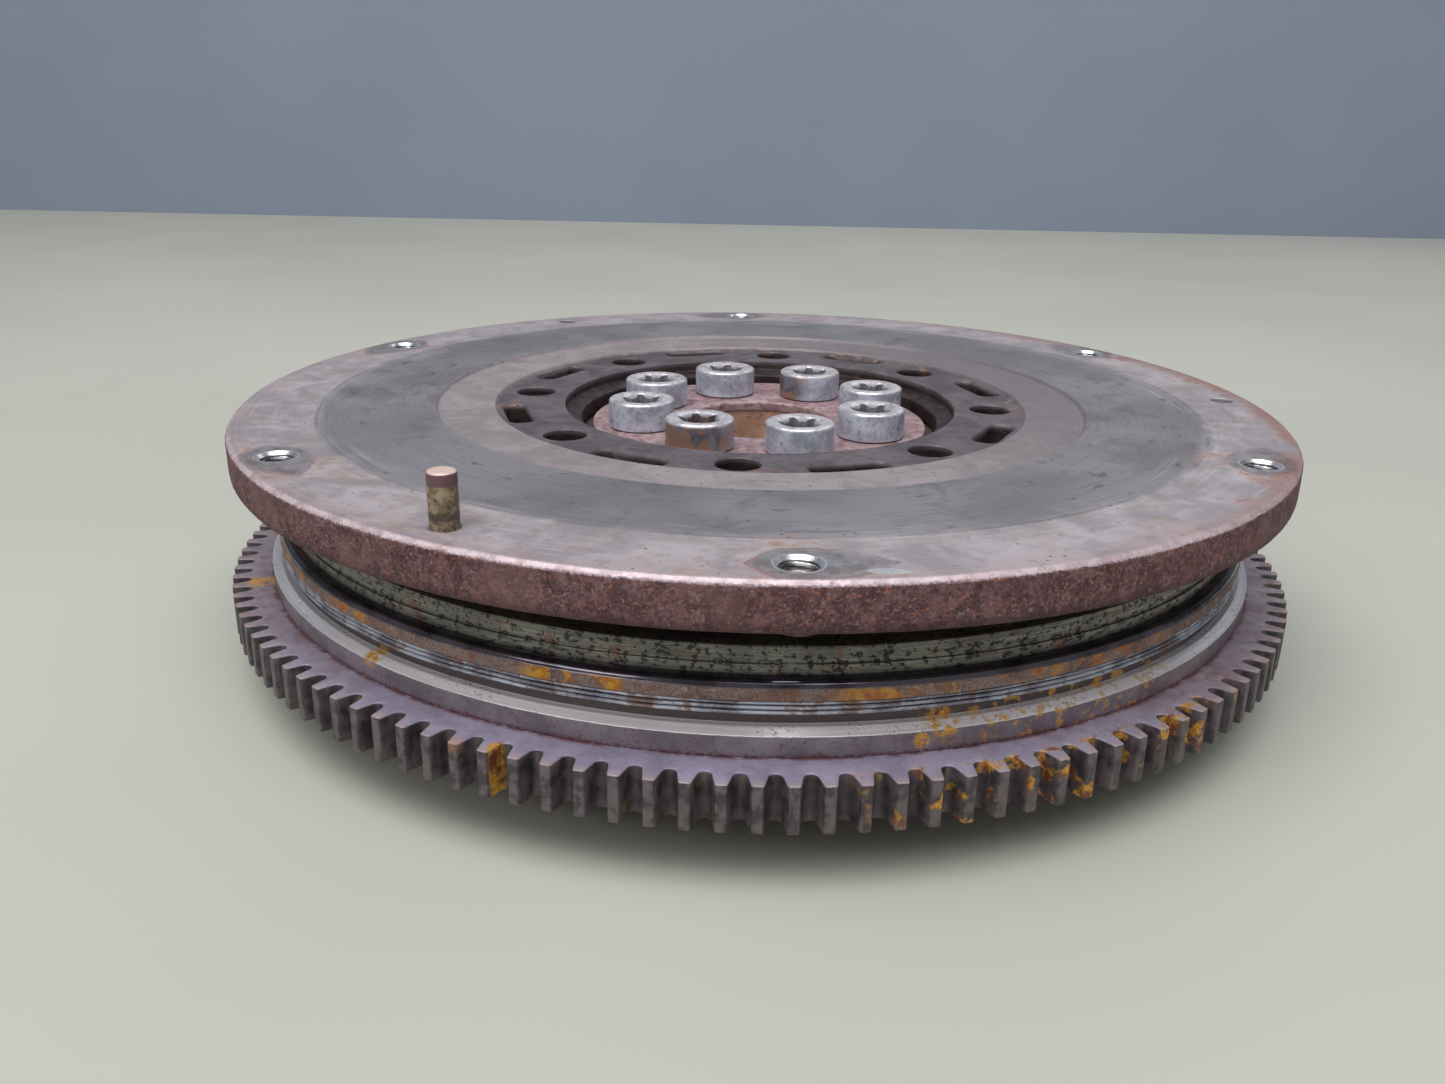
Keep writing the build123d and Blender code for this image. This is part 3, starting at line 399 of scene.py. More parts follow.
    def spot(self, place, size, soft=0.6, squeeze=(1, 1, 1)):
        """1 near a place, in millimetres, falling to 0 past size."""
        apart = self.node("ShaderNodeVectorMath", operation="SUBTRACT")
        self.put(apart.inputs[0], self.point)
        apart.inputs[1].default_value = place
        scaled = self.node("ShaderNodeVectorMath", operation="MULTIPLY")
        self.put(scaled.inputs[0], apart.outputs[0])
        scaled.inputs[1].default_value = squeeze
        length = self.node("ShaderNodeVectorMath", operation="LENGTH")
        self.put(length.inputs[0], scaled.outputs[0])
        return self.rise(length.outputs["Value"], size * (1 + soft), size * (1 - soft))

    def facing(self, degrees, spread):
        """1 on the side of the axis that faces this angle, falling to 0 past spread degrees."""
        ax, ay = polar(1, degrees)
        along = self.plus(self.times(self.cos, ax), self.times(self.sin, ay))
        return self.rise(along, math.cos(math.radians(spread)), 1.0)

    def bolt_radius(self):
        """Distance from the nearest bolt's own axis."""
        turn = self.math("ARCTAN2", self.y, self.x)
        start = math.radians(BOLT_START)
        folded = self.math("WRAP", self.minus(turn, start), TAU / (2 * BOLT_COUNT), -TAU / (2 * BOLT_COUNT))
        u = self.times(self.r, self.math("SINE", folded))
        v = self.minus(self.times(self.r, self.math("COSINE", folded)), BOLT_CIRCLE)
        return self.math("SQRT", self.plus(self.times(u, u), self.times(v, v)))

    def done(self, colour, roughness, metallic, height, depth=0.1):
        """Connects the colour, roughness, metal share and a bump whose height is in millimetres."""
        self.put(self.shader.inputs["Base Color"], colour)
        self.put(self.shader.inputs["Roughness"], roughness)
        self.put(self.shader.inputs["Metallic"], metallic)
        bump = self.node("ShaderNodeBump")
        bump.inputs["Strength"].default_value = 1.0
        bump.inputs["Distance"].default_value = depth * MM
        self.put(bump.inputs["Height"], height)
        self.put(self.shader.inputs["Normal"], bump.outputs[0])
        return self.material


def dress(piece, material):
    piece.data.materials.clear()
    piece.data.materials.append(material)


# ------------------------------------------------------------------ materials
def rusty_disc():
    """The secondary's iron: machined and worn on top, rusty purplish brown round the rim and below."""
    f = Finish("worn_iron_disc")
    broad = f.noise(0.022, detail=2)
    blotch = f.noise(0.08, detail=6, rough=0.62, bend=0.6)
    patch = f.noise(0.28, detail=5, rough=0.62)
    grain = f.noise(1.5, detail=4, rough=0.65)
    fine = f.noise(5.0, detail=2)
    streak = f.noise(1.0, f.around(6.0, 0.8), detail=6, rough=0.7)
    wipe = f.noise(1.0, f.around(18.0, 2.0), detail=5, rough=0.65)
    turned = f.noise(1.0, f.around(2.0, 6.0), detail=3)
    shaded_right_side = f.facing(25, 100)

    outer = f.shade(blotch, 0.36, 0.64, (152, 145, 150), (186, 177, 182))
    outer = f.over(outer, (188, 180, 180), f.rise(streak, 0.5, 0.7), 0.6)
    outer = f.over(outer, (140, 120, 112), f.rise(patch, 0.54, 0.7), 0.5)
    olive = f.times(f.band(f.r, 119.0, 126.0, 3.0), f.rise(streak, 0.4, 0.6))
    outer = f.over(outer, (132, 128, 116), olive, 0.35)

    band = f.shade(broad, 0.4, 0.62, (116, 114, 118), (136, 133, 139))
    band = f.over(band, (100, 98, 101), f.rise(blotch, 0.5, 0.68), 0.7)
    band = f.over(band, (104, 103, 106), f.rise(streak, 0.47, 0.68), 0.5)
    band = f.over(band, (152, 151, 154), f.rise(wipe, 0.56, 0.68), 0.25)
    light_edge = f.times(f.band(f.r, 113.0, 118.0, 2.6), f.rise(streak, 0.4, 0.64),
                         f.rise(f.noise(0.03, detail=2), 0.42, 0.56))
    band = f.over(band, (164, 163, 164), light_edge, 0.75)
    marks = f.rise(f.noise(0.55, f.around(26.0, 0.6), detail=4, rough=0.6), 0.62, 0.7)
    band = f.over(band, (70, 68, 71), marks, 0.7)

    middle = f.shade(blotch, 0.35, 0.65, (144, 134, 136), (166, 156, 157))
    middle = f.over(middle, (124, 112, 110), f.rise(patch, 0.52, 0.7), 0.45)
    # The middle ring is painted darker towards the right and back: painted shade.
    middle = f.over(middle, (112, 104, 108), shaded_right_side, 0.75)

    inner = f.shade(blotch, 0.36, 0.64, (80, 72, 76), (110, 100, 105))
    inner = f.over(inner, (60, 52, 53), f.rise(patch, 0.5, 0.68), 0.5)
    inner = f.over(inner, (122, 110, 112), f.rise(grain, 0.5, 0.7), 0.3)
    smear = f.times(f.rise(patch, 0.5, 0.62), f.rise(f.noise(0.045, detail=2), 0.48, 0.6),
                    f.rise(f.r, 64.0, 71.0))
    inner = f.over(inner, (160, 120, 98), smear, 0.65)

    step = f.plus(f.r, f.sway(patch, 1.2))
    top = f.mix(f.rise(step, INNER_ZONE_R - 0.3, INNER_ZONE_R + 0.6), inner, middle)
    wobble = f.plus(f.r, f.sway(blotch, 4.0), f.sway(patch, 1.5))
    top = f.mix(f.rise(wobble, FRICTION_IN - 1.2, FRICTION_IN + 0.8), top, band)
    top = f.mix(f.rise(wobble, FRICTION_OUT - 3.5, FRICTION_OUT + 1.2), top, outer)
    dark_line = f.times(f.band(f.r, FRICTION_OUT - 1.4, FRICTION_OUT - 0.2, 0.5), f.rise(streak, 0.4, 0.6))
    top = f.over(top, (84, 82, 84), dark_line, 0.5)

    # Footprints of the clutch cover's feet round the tapped holes
    turn = f.math("ARCTAN2", f.y, f.x)
    start = math.radians(HOLE_START)
    folded = f.math("WRAP", f.minus(turn, start), TAU / (2 * HOLE_COUNT), -TAU / (2 * HOLE_COUNT))
    along = f.times(f.r, folded)
    across = f.math("ABSOLUTE", f.minus(f.r, HOLE_CIRCLE + 0.6))
    right = f.times(f.math("MAXIMUM", along, 0.0), 1 / 18.0)
    left = f.times(f.math("MINIMUM", along, 0.0), 1 / 10.0)
    leaf = f.plus(f.times(across, 1 / 8.2), f.times(right, right), f.times(left, left))
    leaf = f.plus(leaf, f.sway(patch, 0.5), f.sway(blotch, 0.4))
    inside = f.rise(leaf, 1.0, 0.84)
    outline = f.band(leaf, 0.94, 1.08, 0.1)
    foot = f.shade(patch, 0.4, 0.62, (180, 173, 172), (140, 133, 134))
    foot = f.over(foot, (112, 104, 106), f.rise(streak, 0.5, 0.7), 0.5)
    top = f.mix(f.times(inside, 0.8), top, foot)
    top = f.over(top, (98, 72, 76), outline, f.rise(blotch, 0.4, 0.56), 0.75)
    halo = f.times(f.band(leaf, 1.0, 1.9, 0.5), f.rise(patch, 0.46, 0.6), f.rise(blotch, 0.42, 0.6))
    top = f.over(top, (166, 118, 82), halo, 0.6)
    from_hole = f.math("SQRT",
                       f.plus(f.times(along, along),
                              f.times(f.minus(f.r, HOLE_CIRCLE), f.minus(f.r, HOLE_CIRCLE))))
    mouth = f.times(f.rise(from_hole, 5.3, 4.7), f.rise(f.z, TOP_Z - 3.0, TOP_Z - 1.5))
    glint = f.spot((*polar(136.6, HOLE_START - 120 + 6.6), TOP_Z), 1.6, 0.4, (0.45, 1.4, 1))

    # Rust creeping in from the edge, most on the right
    edge = f.plus(f.r, f.sway(blotch, 24.0), f.sway(patch, 9.0))
    creep = f.times(f.rise(edge, 132.0, 140.0), f.plus(0.25, f.times(f.facing(5, 70), 0.75)))
    top = f.over(top, (146, 102, 88), creep, 0.85)
    tan_smear = f.times(f.rise(f.noise(0.05, detail=4, rough=0.6), 0.52, 0.64), f.rise(f.r, 118.0, 124.0),
                        f.rise(streak, 0.42, 0.6))
    top = f.over(top, (164, 134, 116), tan_smear, 0.45)
    pits = f.most(f.times(f.rise(f.cells(0.33), 0.14, 0.06), f.rise(blotch, 0.5, 0.6)),
                  f.times(f.rise(f.cells(0.75), 0.2, 0.08), f.band(f.r, 76.0, 92.0, 3.0),
                          f.rise(patch, 0.5, 0.6), f.facing(-65, 60)))
    top = f.over(top, (54, 46, 48), pits, 0.85)
    scratch = f.rise(f.noise(0.5, f.vector(f.times(f.x, 0.3), f.times(f.y, 3.0), f.z), detail=3), 0.68, 0.72)
    top = f.over(top, (212, 204, 204), scratch, f.rise(f.r, 118.0, 123.0), 0.4)
    top = f.over(top, (212, 204, 205), f.rise(fine, 0.5, 0.75), 0.16)

    rust = f.shade(patch, 0.38, 0.62, (94, 64, 68), (128, 94, 97))
    rust = f.over(rust, (66, 42, 45), f.rise(f.noise(0.8, detail=4, rough=0.7), 0.46, 0.6), 0.7)
    rust = f.over(rust, (172, 112, 86), f.rise(f.noise(1.3, detail=3, rough=0.7), 0.55, 0.64), 0.7)
    rust = f.over(rust, (160, 146, 158), f.rise(f.noise(1.1, detail=4, rough=0.7), 0.57, 0.66), 0.65)
    rust = f.over(rust, (136, 104, 100), f.rise(f.noise(0.05, detail=2), 0.5, 0.64), 0.4)
    rust = f.over(rust, (64, 44, 46), f.rise(f.z, RIM_LOW + 3.5, RIM_LOW + 0.5), 0.5)

    ragged = f.plus(f.z, f.sway(grain, 1.0))
    below = f.rise(ragged, TOP_Z - 0.75, TOP_Z - 1.15)
    side = f.times(below, f.rise(f.r, RIM_R - 3.5, RIM_R - 1.8))
    colour = f.mix(side, top, rust)
    front = f.facing(-100, 75)
    lip = f.times(f.band(ragged, TOP_Z - 1.0, TOP_Z - 0.1, 0.2), f.rise(f.r, RIM_R - 1.8, RIM_R - 1.1))
    # The rim's top edge gets a pale rubbed colour, real wear, laid on far more strongly at the front as a
    # painted highlight.
    rubbed_edge_and_glint = f.shade(patch, 0.4, 0.62, (216, 198, 204), (182, 160, 166))
    rubbed_edge_and_glint = f.over(rubbed_edge_and_glint, (236, 222, 226), f.rise(grain, 0.5, 0.68), 0.6)
    colour = f.mix(f.times(lip, f.plus(0.35, f.times(front, 0.65))), colour, rubbed_edge_and_glint)
    # Surfaces below the inner zone, inside r 76 to 80, are painted near black: painted shade in the vents,
    # pockets and ledge.
    recess_shade = f.rise(f.z, INNER_ZONE_Z - 0.5, INNER_ZONE_Z - 1.6)
    colour = f.mix(f.times(recess_shade, f.rise(f.r, 80.0, 76.0)), colour,
                   f.shade(patch, 0.4, 0.6, (40, 32, 32), (66, 52, 50)))
    under = f.rise(f.z, RIM_LOW + 0.5, RIM_LOW - 0.1)
    colour = f.mix(under, colour, f.shade(patch, 0.4, 0.6, (78, 56, 56), (104, 78, 74)))
    colour = f.mix(mouth, colour, f.shade(from_hole, 3.7, 4.0, (96, 92, 94), (226, 226, 228)))
    colour = f.mix(glint, colour, srgb(245, 242, 240))

    bright = f.most(f.times(inside, 0.6), mouth, glint)
    rough = f.lerp(side, f.lerp(f.rise(streak, 0.35, 0.7), 0.42, 0.6), 0.85)
    rough = f.lerp(f.times(lip, front), rough, 0.4)
    rough = f.lerp(bright, rough, 0.22)
    metal = f.lerp(side, 0.22, 0.05)
    metal = f.lerp(bright, metal, 0.9)
    height = f.plus(
        f.times(side, f.plus(f.times(grain, 2.4), f.times(f.noise(0.8, detail=3), 1.6))),
        f.times(turned, f.flip(side), 0.02),
        f.times(fine, 0.14),
        f.times(patch, f.flip(side), 0.25),
        f.times(pits, -0.8),
    )
    return f.done(colour, rough, metal, height, 0.24)


def gear_finish():
    """Ring gear: purple-brown faces with a painted bluish reflection at the front, dark oily flanks, bright
    worn edges, orange rust in some gaps.
    """
    f = Finish("ring_gear_steel")
    blotch = f.noise(0.1, detail=5, rough=0.6)
    patch = f.noise(0.35, detail=4)
    grain = f.noise(2.2, detail=3)
    front = f.facing(-95, 60)
    face = f.shade(blotch, 0.36, 0.64, (146, 130, 140), (170, 156, 166))
    # The front of the top face is painted bluish-lilac and kept freer of brown patches: a painted reflection
    # of the bluish backdrop.
    face = f.mix(f.times(front, 0.8), face, f.shade(blotch, 0.36, 0.64, (152, 146, 172), (176, 172, 200)))
    face = f.over(face, (132, 96, 88), f.rise(patch, 0.5, 0.68), f.flip(f.times(front, 0.7)), 0.6)
    face = f.over(face, (96, 84, 96), f.rise(grain, 0.5, 0.7), 0.25)
    seam = f.times(f.rise(f.r, PRIMARY_R + 1.2, PRIMARY_R + 0.2), f.rise(patch, 0.36, 0.54))
    face = f.over(face, (112, 66, 62), seam, 0.8)
    flank = f.shade(patch, 0.35, 0.65, (62, 57, 62), (94, 87, 92))
    flank = f.over(flank, (118, 104, 100),
                   f.rise(f.noise(0.5, f.vector(f.x, f.y, f.times(f.z, 0.2)), detail=4), 0.5, 0.68), 0.6)
    colour = f.mix(f.rise(f.z, GEAR_TOP - 0.4, GEAR_TOP - 0.1), flank, face)
    worn_end = f.times(f.rise(f.r, GEAR_R - 2.6, GEAR_R - 0.4), f.rise(f.z, GEAR_TOP - 0.5, GEAR_TOP - 0.15))
    colour = f.over(colour, (176, 156, 148), worn_end, 0.55)
    tip = f.rise(f.r, GEAR_R - 0.3, GEAR_R - 0.15)
    tip_colour = f.shade(patch, 0.4, 0.6, (72, 66, 70), (112, 102, 104))
    colour = f.mix(f.times(tip, f.rise(f.z, GEAR_TOP - 0.1, GEAR_TOP - 0.3)), colour, tip_colour)
    wet = f.noise(0.2, detail=4)
    right = f.times(f.band(f.math("ARCTAN2", f.y, f.x), math.radians(-80), math.radians(-44), 0.12),
                    f.rise(wet, 0.53, 0.61))
    single = f.spot((*polar(GEAR_R - 2.5, -110.2), 0.0), 2.1, 0.2, (1, 1, 0.2))
    scattered = f.times(f.rise(f.noise(0.06, detail=1), 0.66, 0.72), f.rise(wet, 0.52, 0.6), 0.3)
    orange_area = f.times(f.most(right, single, scattered), f.rise(f.r, GEAR_R - 6.0, GEAR_R - 4.0))
    orange = f.shade(grain, 0.4, 0.6, (196, 128, 48), (222, 176, 66))
    orange = f.mix(f.rise(patch, 0.46, 0.6), orange, srgb(124, 66, 36))
    colour = f.mix(f.times(orange_area, 0.9), colour, orange)
    spill_point = (*polar(136.0, -157.0), GEAR_TOP)
    spill = f.times(f.spot(spill_point, 3.6, 0.5, (0.8, 1.3, 1)), f.rise(wet, 0.36, 0.5))
    colour = f.mix(spill, colour, f.shade(grain, 0.4, 0.6, (222, 148, 40), (226, 184, 84)))
    rough = f.lerp(f.rise(patch, 0.35, 0.65), 0.4, 0.6)
    height = f.plus(f.times(grain, 0.6), f.times(patch, 0.8))
    return f.done(colour, rough, 0.25, height, 0.08)


def primary_finish():
    """Primary iron: turned shoulder and edge band in near white, bare metal partly painted as highlight, dull
    grey cylinder, brown below.
    """
    f = Finish("primary_iron")
    blotch = f.noise(0.08, detail=5, rough=0.6)
    patch = f.noise(0.4, detail=4)
    specks = f.noise(1.4, detail=4, rough=0.7)
    grain = f.noise(2.5, detail=3)
    turned = f.noise(1.0, f.around(3.0, 4.0, 7.0), detail=4)
    shoulder_z = WELD_LOW - 3.0
    cylinder = f.shade(blotch, 0.38, 0.62, (118, 108, 116), (146, 136, 144))
    cylinder = f.over(cylinder, (112, 66, 64), f.rise(specks, 0.54, 0.64), f.rise(patch, 0.42, 0.56), 0.8)
    foot = f.times(f.rise(f.z, GEAR_TOP + 1.2, GEAR_TOP + 0.1), f.rise(specks, 0.42, 0.54))
    cylinder = f.over(cylinder, (104, 50, 50), foot, 0.85)
    # The band's near-white colour is bare turned metal and partly a painted highlight.
    bright = f.shade(turned, 0.35, 0.65, (222, 218, 222), (246, 243, 245))
    dirty_band = f.times(f.rise(specks, 0.56, 0.62), f.rise(f.noise(0.09, detail=3), 0.46, 0.6))
    bright = f.over(bright, (124, 74, 66), dirty_band, 0.85)
    ragged = f.plus(f.z, f.sway(patch, 0.3))
    on_band = f.rise(ragged, shoulder_z - 0.2, shoulder_z + 0.02)
    colour = f.mix(on_band, cylinder, bright)
    groove = f.rise(f.z, WELD_LOW - 2.1, WELD_LOW - 1.8)
    colour = f.mix(groove, colour, srgb(84, 74, 76))
    angle = f.math("ARCTAN2", f.y, f.x)
    drip = f.times(f.most(f.spot((*polar(132.5, -73.6), 11.0), 3.4, 0.4),
                          f.spot((*polar(PRIMARY_R, -75.6), 7.2), 1.6, 0.4),
                          f.spot((*polar(132.0, -127.5), 10.0), 2.4, 0.4)),
                          f.rise(f.noise(0.6, detail=3), 0.42, 0.52))
    right_rust = f.times(f.band(angle, math.radians(-72), math.radians(-48), 0.1), f.rise(patch, 0.52, 0.6))
    stain = f.shade(grain, 0.4, 0.6, (204, 134, 40), (226, 184, 84))
    colour = f.mix(f.times(f.most(drip, f.times(right_rust, 0.7)), f.rise(f.z, GEAR_TOP, GEAR_TOP + 1.0)),
                   colour, stain)
    bottom = f.shade(blotch, 0.4, 0.62, (98, 80, 76), (132, 112, 106))
    bottom = f.over(bottom, (80, 56, 50), f.rise(patch, 0.5, 0.66), 0.6)
    colour = f.mix(f.rise(f.z, GEAR_TOP - 0.8, GEAR_TOP - 1.6), colour, bottom)
    stained = f.times(on_band, dirty_band)
    rough = f.lerp(on_band, 0.5, f.lerp(stained, 0.34, 0.6))
    metal = f.lerp(f.rise(f.z, GEAR_TOP - 1.6, GEAR_TOP - 0.8), 0.2,
                   f.lerp(on_band, 0.35, f.lerp(stained, 0.45, 0.15)))
    height = f.plus(f.times(turned, 0.5), f.times(grain, 0.5), f.times(patch, 0.6))
    return f.done(colour, rough, metal, height, 0.05)


def weld_finish():
    """Weld: blue-grey ridges with painted shade in the furrows, and brown stains."""
    f = Finish("weld_bead")
    blotch = f.noise(0.15, detail=4)
    ripple = f.noise(1.0, f.around(150.0, 0.5, 0.5), detail=2)
    lines = f.noise(1.0, f.around(5.0, 2.0, 4.0), detail=4)
    colour = f.shade(blotch, 0.36, 0.62, (134, 134, 146), (192, 196, 208))
    colour = f.over(colour, (90, 84, 92), f.rise(lines, 0.5, 0.62), 0.6)
    # The furrows between and beside the ridges are painted dark: painted shade in the creases.
    furrow_shade = f.rise(f.r, 130.5, 130.1)
    colour = f.over(colour, (52, 46, 50), furrow_shade, 0.8)
    stained = f.rise(f.noise(0.22, detail=5, rough=0.65), 0.52, 0.62)
    colour = f.over(colour, (124, 86, 62), stained, 0.75)
    height = f.plus(f.times(ripple, 1.0), f.times(lines, 1.0))
    return f.done(colour, f.lerp(f.rise(blotch, 0.4, 0.6), 0.24, 0.42), f.lerp(stained, 0.4, 0.2), height,
                  0.1)


def cover_finish():
    """Pressed cover: rust-stained wall with orange patches, dark glossy bend on its upper edge, oily and
    partly painted shade under the secondary.
    """
    f = Finish("cover_sheet")
    blotch = f.noise(0.1, detail=5, rough=0.6)
    patch = f.noise(0.4, detail=5, rough=0.6)
    grain = f.noise(2.0, detail=3)
    wall = f.shade(blotch, 0.36, 0.62, (116, 94, 92), (146, 124, 116))
    wall = f.over(wall, (76, 58, 56), f.rise(grain, 0.46, 0.64), 0.6)
    wall = f.over(wall, (132, 84, 56), f.rise(f.noise(0.3, detail=4), 0.54, 0.66), 0.7)
    wall = f.over(wall, (172, 160, 150), f.rise(f.noise(0.9, detail=3), 0.62, 0.7), 0.8)
    wet = f.rise(f.noise(0.25, detail=4, bend=0.8), 0.46, 0.55)
    zones = f.most(f.spot((*polar(COVER_R, -102.5), 17.0), 3.6, 0.3),
                   f.spot((*polar(COVER_R, -107.0), 16.4), 5.0, 0.4, (0.7, 1, 1.6)),
                   f.times(f.facing(-79, 5), 0.8), f.facing(-154, 16), f.times(f.facing(-60, 16), 0.5),
                   f.times(f.facing(-132, 4), 0.8))
    orange = f.shade(patch, 0.42, 0.58, (186, 108, 24), (204, 152, 52))
    wall = f.mix(f.times(zones, wet), wall, orange)
    # The bend's dark colour is oily metal and partly painted shade under the secondary's overhang.
    bend = f.shade(blotch, 0.4, 0.6, (66, 62, 68), (100, 96, 104))
    ragged = f.plus(f.z, f.sway(patch, 0.5))
    on_bend = f.rise(ragged, COVER_TOP - 1.9, COVER_TOP - 1.3)
    colour = f.mix(on_bend, wall, bend)
    rough = f.lerp(on_bend, 0.7, 0.12)
    metal = f.lerp(on_bend, 0.15, 0.85)
    height = f.times(f.flip(on_bend), f.plus(f.times(grain, 1.0), f.times(patch, 1.4)))
    return f.done(colour, rough, metal, height, 0.14)


def mass_finish():
    """Added-mass ring: green-grey turned metal with dark oily pits."""
    f = Finish("inertia_ring_iron")
    blotch = f.noise(0.12, detail=5)
    turned = f.noise(1.0, f.around(4.0, 3.0, 5.0), detail=4)
    pits = f.rise(f.noise(1.3, f.around(60.0, 0.8, 0.8), detail=4, rough=0.7), 0.52, 0.62)
    colour = f.shade(turned, 0.35, 0.65, (104, 102, 94), (150, 148, 138))
    colour = f.over(colour, (84, 80, 74), f.rise(blotch, 0.4, 0.6), 0.4)
    colour = f.over(colour, (34, 28, 28), pits, 0.8)
    colour = f.over(colour, (120, 72, 52), f.rise(f.noise(0.2, detail=3), 0.6, 0.68), 0.6)
    height = f.plus(f.times(turned, 0.6), f.times(pits, -1.0))
    return f.done(colour, f.lerp(pits, 0.36, 0.6), 0.6, height, 0.1)


def zinc_finish():
    """Zinc-plated bolts: mottled blue-grey sides, brighter tops, brown stains on some."""
    f = Finish("bolt_zinc_plate")
    blotch = f.noise(0.2, detail=5, rough=0.6)
    patch = f.noise(0.7, detail=4)
    grain = f.noise(4.0, detail=3)
    side = f.shade(blotch, 0.38, 0.62, (176, 182, 198), (212, 218, 232))
    side = f.over(side, (142, 145, 158), f.rise(patch, 0.52, 0.68), 0.6)
    side = f.over(side, (150, 134, 130), f.rise(f.noise(0.5, detail=5, rough=0.7), 0.56, 0.66), 0.5)
    top = f.shade(patch, 0.4, 0.62, (238, 234, 236), (216, 208, 212))
    top = f.over(top, (150, 136, 134), f.rise(blotch, 0.5, 0.62), 0.6)
    colour = f.mix(f.rise(f.z, BOLT_TOP - 0.8, BOLT_TOP - 0.3), side, top)
    dirty = f.most(f.spot((*polar(BOLT_CIRCLE + 2, BOLT_START + 225), BOLT_TOP - 4), 10.0, 0.25),
                   f.spot((*polar(BOLT_CIRCLE - 6, BOLT_START + 53), BOLT_TOP - 4), 7.0, 0.35))
    grimy = f.shade(blotch, 0.4, 0.6, (84, 78, 84), (120, 116, 126))
    grimy = f.mix(f.rise(f.noise(0.14, detail=1), 0.46, 0.5), grimy, srgb(150, 110, 84))
    colour = f.mix(f.times(dirty, f.rise(f.z, BOLT_TOP - 0.5, BOLT_TOP - 1.2), 0.9), colour, grimy)
    # The socket's upper walls are painted darker and its depth near black: painted shade inside the socket.
    inside = f.flip(f.rise(f.bolt_radius(), 5.9, 6.3))
    socket_shade = f.times(f.rise(f.z, BOLT_TOP - 0.3, BOLT_TOP - 1.0), inside)
    colour = f.over(colour, (110, 100, 102), socket_shade, 0.7)
    colour = f.over(colour, (30, 26, 28), f.rise(f.z, BOLT_TOP - 2.0, BOLT_TOP - 4.5), inside, 0.9)
    # The head's lowest rim and all below it are painted darker: painted shadow at the foot of the head.
    colour = f.over(colour, (90, 82, 84), f.rise(f.z, BOLT_TOP - 7.2, BOLT_TOP - BOLT_HEAD), 0.8)
    rough = f.lerp(socket_shade, f.lerp(f.rise(blotch, 0.35, 0.65), 0.32, 0.5), 0.55)
    metal = f.lerp(f.rise(f.z, BOLT_TOP - 1.2, BOLT_TOP - 0.4), 0.3, 0.6)
    height = f.plus(f.times(grain, 0.4), f.times(patch, 0.9))
    return f.done(colour, rough, metal, height, 0.05)


def plain_finish(name, light, dark, stain, rough=0.5, metal=0.6, scale=0.3, stain_from=0.56, turned=0.5):
    """A worn metal with blotches, stains, fine grain and turning marks."""
    f = Finish(name)
    blotch = f.noise(scale, detail=5, rough=0.6)
    patch = f.noise(scale * 3, detail=4)
    grain = f.noise(scale * 12, detail=2)
    marks = f.noise(1.0, f.around(3.0, 5.0, 5.0), detail=3)
    colour = f.mix(f.rise(blotch, 0.36, 0.64), dark, light)
    colour = f.mix(f.times(f.rise(patch, stain_from, stain_from + 0.12), 0.7), colour, stain)
    colour = f.mix(f.times(f.rise(grain, 0.5, 0.75), 0.25), colour, light)
    height = f.plus(f.times(grain, 0.4), f.times(patch, 0.6), f.times(marks, turned))
    return f.done(colour, f.lerp(f.rise(patch, 0.35, 0.65), rough - 0.08, rough + 0.1), metal, height, 0.06)


# ------------------------------------------------------------------ secondary flywheel
def slot_ring(half_length, half_width, corner, z, centre_radius, degrees, steps=7):
    """A rounded slot bent round the axis, as one ring of points."""
    ring = []
    for sx, sy, first in ((1, 1, 0), (-1, 1, 90), (-1, -1, 180), (1, -1, 270)):
        for k in range(steps):
            a = math.radians(first + 90 * k / (steps - 1))
            u = sx * (half_length - corner) + corner * math.cos(a)
            v = sy * (half_width - corner) + corner * math.sin(a)
            turn = math.radians(degrees) + u / centre_radius
            ring.append(((centre_radius - v) * math.cos(turn), (centre_radius - v) * math.sin(turn), z))
    return ring[::-1]


def vent_cutter(degrees):
    half_length = VENT_CIRCLE * math.radians(VENT_HALF_ANGLE)
    levels = ((0.0, HOUSING_LOW - 1), (0.0, INNER_ZONE_Z - 0.8), (0.15, INNER_ZONE_Z - 0.35),
              (0.5, INNER_ZONE_Z), (1.1, INNER_ZONE_Z + 0.6))
    rings = [slot_ring(half_length + g, VENT_HALF_WIDTH + g, VENT_CORNER + g, z, VENT_CIRCLE, degrees)
             for g, z in levels]
    points, faces = skin(rings, False)
    return make_object("vent_cutter", points, [tuple(reversed(face)) for face in faces])


def thread_cutter(centre):
    low, step = RIM_LOW - 3.0, 0.15
    rings = thread_rings(low, TOP_Z - 1.2, TAP_MINOR, TAP_MAJOR, TAP_PITCH, 40, step, centre)
    for radius, z in ((3.75, TOP_Z - 0.85), (4.6, TOP_Z), (5.2, TOP_Z + 0.6)):
        rings.append(circle(radius, z, 40, centre))
    points, faces = skin(rings, False)
    return make_object("thread_cutter", points, faces)


